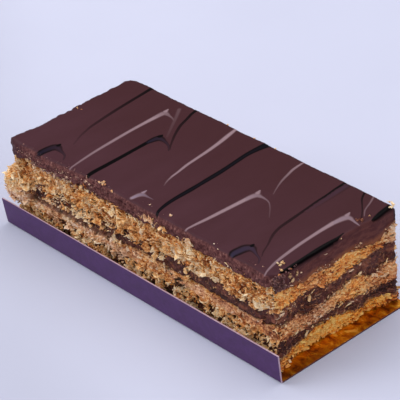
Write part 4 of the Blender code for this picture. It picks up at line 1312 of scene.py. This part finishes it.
def card_piece(name, finish, slot, lift, thickness, nodes=()):
    """A bent sheet of the card: flat under the bar, round its front fold and up the low flap."""
    shape = bmesh.new()
    bmesh.ops.create_grid(shape, x_segments=CARD_RUNS, y_segments=CARD_RUNS, size=0.5)
    for vert in shape.verts:
        run = round((0.5 - vert.co.y) * CARD_RUNS)
        lean = 1.0 - 0.6 * (vert.co.x + 0.5)
        vert.co = (vert.co.x * CARD_LENGTH - BAR_MIDDLE[0], *card_line(run, lean, lift))
        vert.co.y -= BAR_MIDDLE[1]
    sheet = finished(name, mesh_of(shape), finish, slot, *nodes)
    thick = sheet.modifiers.new("Thickness", "SOLIDIFY")
    thick.thickness = thickness * MM
    thick.offset = -1.0
    thick.use_even_offset = True
    return sheet


def card_line(run, lean, lift):
    """(y, z) of a point on the card's inside: `run` 0 is its back edge and CARD_RUNS the flap's top."""
    angle = math.pi / 2 - math.atan2(lean, FLAP_TOP)
    inner = 0.4 - lift
    centre = Vector((-26.25 + 0.9, 0.9))
    if run <= BASE_RUNS:
        return CARD_BACK + (centre.x - CARD_BACK) * run / BASE_RUNS, CARD_TOP + lift
    turn = angle * min(run - BASE_RUNS, FOLD_RUNS) / FOLD_RUNS
    y, z = centre.x - inner * math.sin(turn), centre.y - inner * math.cos(turn)
    if run > BASE_RUNS + FOLD_RUNS:
        rise = (FLAP_TOP - z) * ((run - BASE_RUNS - FOLD_RUNS) / (CARD_RUNS - BASE_RUNS - FOLD_RUNS))
        y, z = y - rise / math.tan(angle), z + rise
    return y, z


# Stage, light and camera


def towards(azimuth, elevation):
    """The way from the bar to a compass angle and a height in degrees."""
    azimuth, elevation = math.radians(azimuth), math.radians(elevation)
    level = math.cos(elevation)
    return Vector((math.sin(azimuth) * level, -math.cos(azimuth) * level, math.sin(elevation)))


def place_camera():
    back, roll = towards(CAMERA_AZIMUTH, CAMERA_ELEVATION), math.radians(CAMERA_ROLL)
    level = Vector((0.0, 0.0, 1.0)).cross(back).normalized()
    rise = back.cross(level)
    right = level * math.cos(roll) + rise * math.sin(roll)
    up = rise * math.cos(roll) - level * math.sin(roll)
    data = bpy.data.cameras.new("camera")
    data.sensor_width = CAMERA_SENSOR
    data.lens = CAMERA_LENS
    data.clip_start = 0.05
    camera = linked("camera", data)
    stand = (Vector(CAMERA_TARGET) + back * CAMERA_DISTANCE) * MM
    camera.matrix_world = Matrix.Translation(stand) @ Matrix((right, up, back)).transposed().to_4x4()
    bpy.context.scene.camera = camera


def soft_light(name, azimuth, elevation, distance, size, power):
    """A square soft light that looks at the bar from a compass angle and a height in degrees."""
    back = towards(azimuth, elevation)
    data = bpy.data.lights.new(name, "AREA")
    data.size = size
    data.energy = power
    facing = back.to_track_quat("Z", "Y").to_matrix().to_4x4()
    linked(name, data).matrix_world = Matrix.Translation(back * distance) @ facing


def set_stage():
    """The paper floor, the pale surroundings and three soft lights."""
    shape = bmesh.new()
    bmesh.ops.create_grid(shape, x_segments=2, y_segments=2, size=2.5)
    floor = linked("floor", mesh_of(shape))
    floor.data.materials.append(floor_finish())
    world = bpy.data.worlds.new("studio")
    world.use_nodes = True
    background = world.node_tree.nodes["Background"].inputs
    background["Color"].default_value = (0.93, 0.94, 1.0, 1.0)
    background["Strength"].default_value = 0.28
    bpy.context.scene.world = world
    bpy.context.scene.view_settings.view_transform = "Standard"
    soft_light("key", -60.0, 42.0, 1.0, 0.8, 7.5)
    soft_light("fill", 62.0, 44.0, 1.1, 0.9, 4.6)
    soft_light("back", 190.0, 68.0, 0.75, 0.6, 3.4)


def main():
    pastry = pastry_finish()
    cream = cream_finish()
    for layer in range(LAYERS.index("glaze")):
        finish, slot = (cream, "cream") if LAYERS[layer].startswith("cream") else (pastry, "pastry")
        layer_piece(layer, finish, slot)
    coat_bar(pastry)
    glaze_piece(glaze_finish())
    glaze_bits(crumbed_glaze_finish())
    card_piece("card_board", board_finish(), "card", 0.0, 0.5, ("card",))
    card_piece("card_foil", foil_finish(), "card_foil", 0.05, 0.04)
    set_stage()
    place_camera()


main()
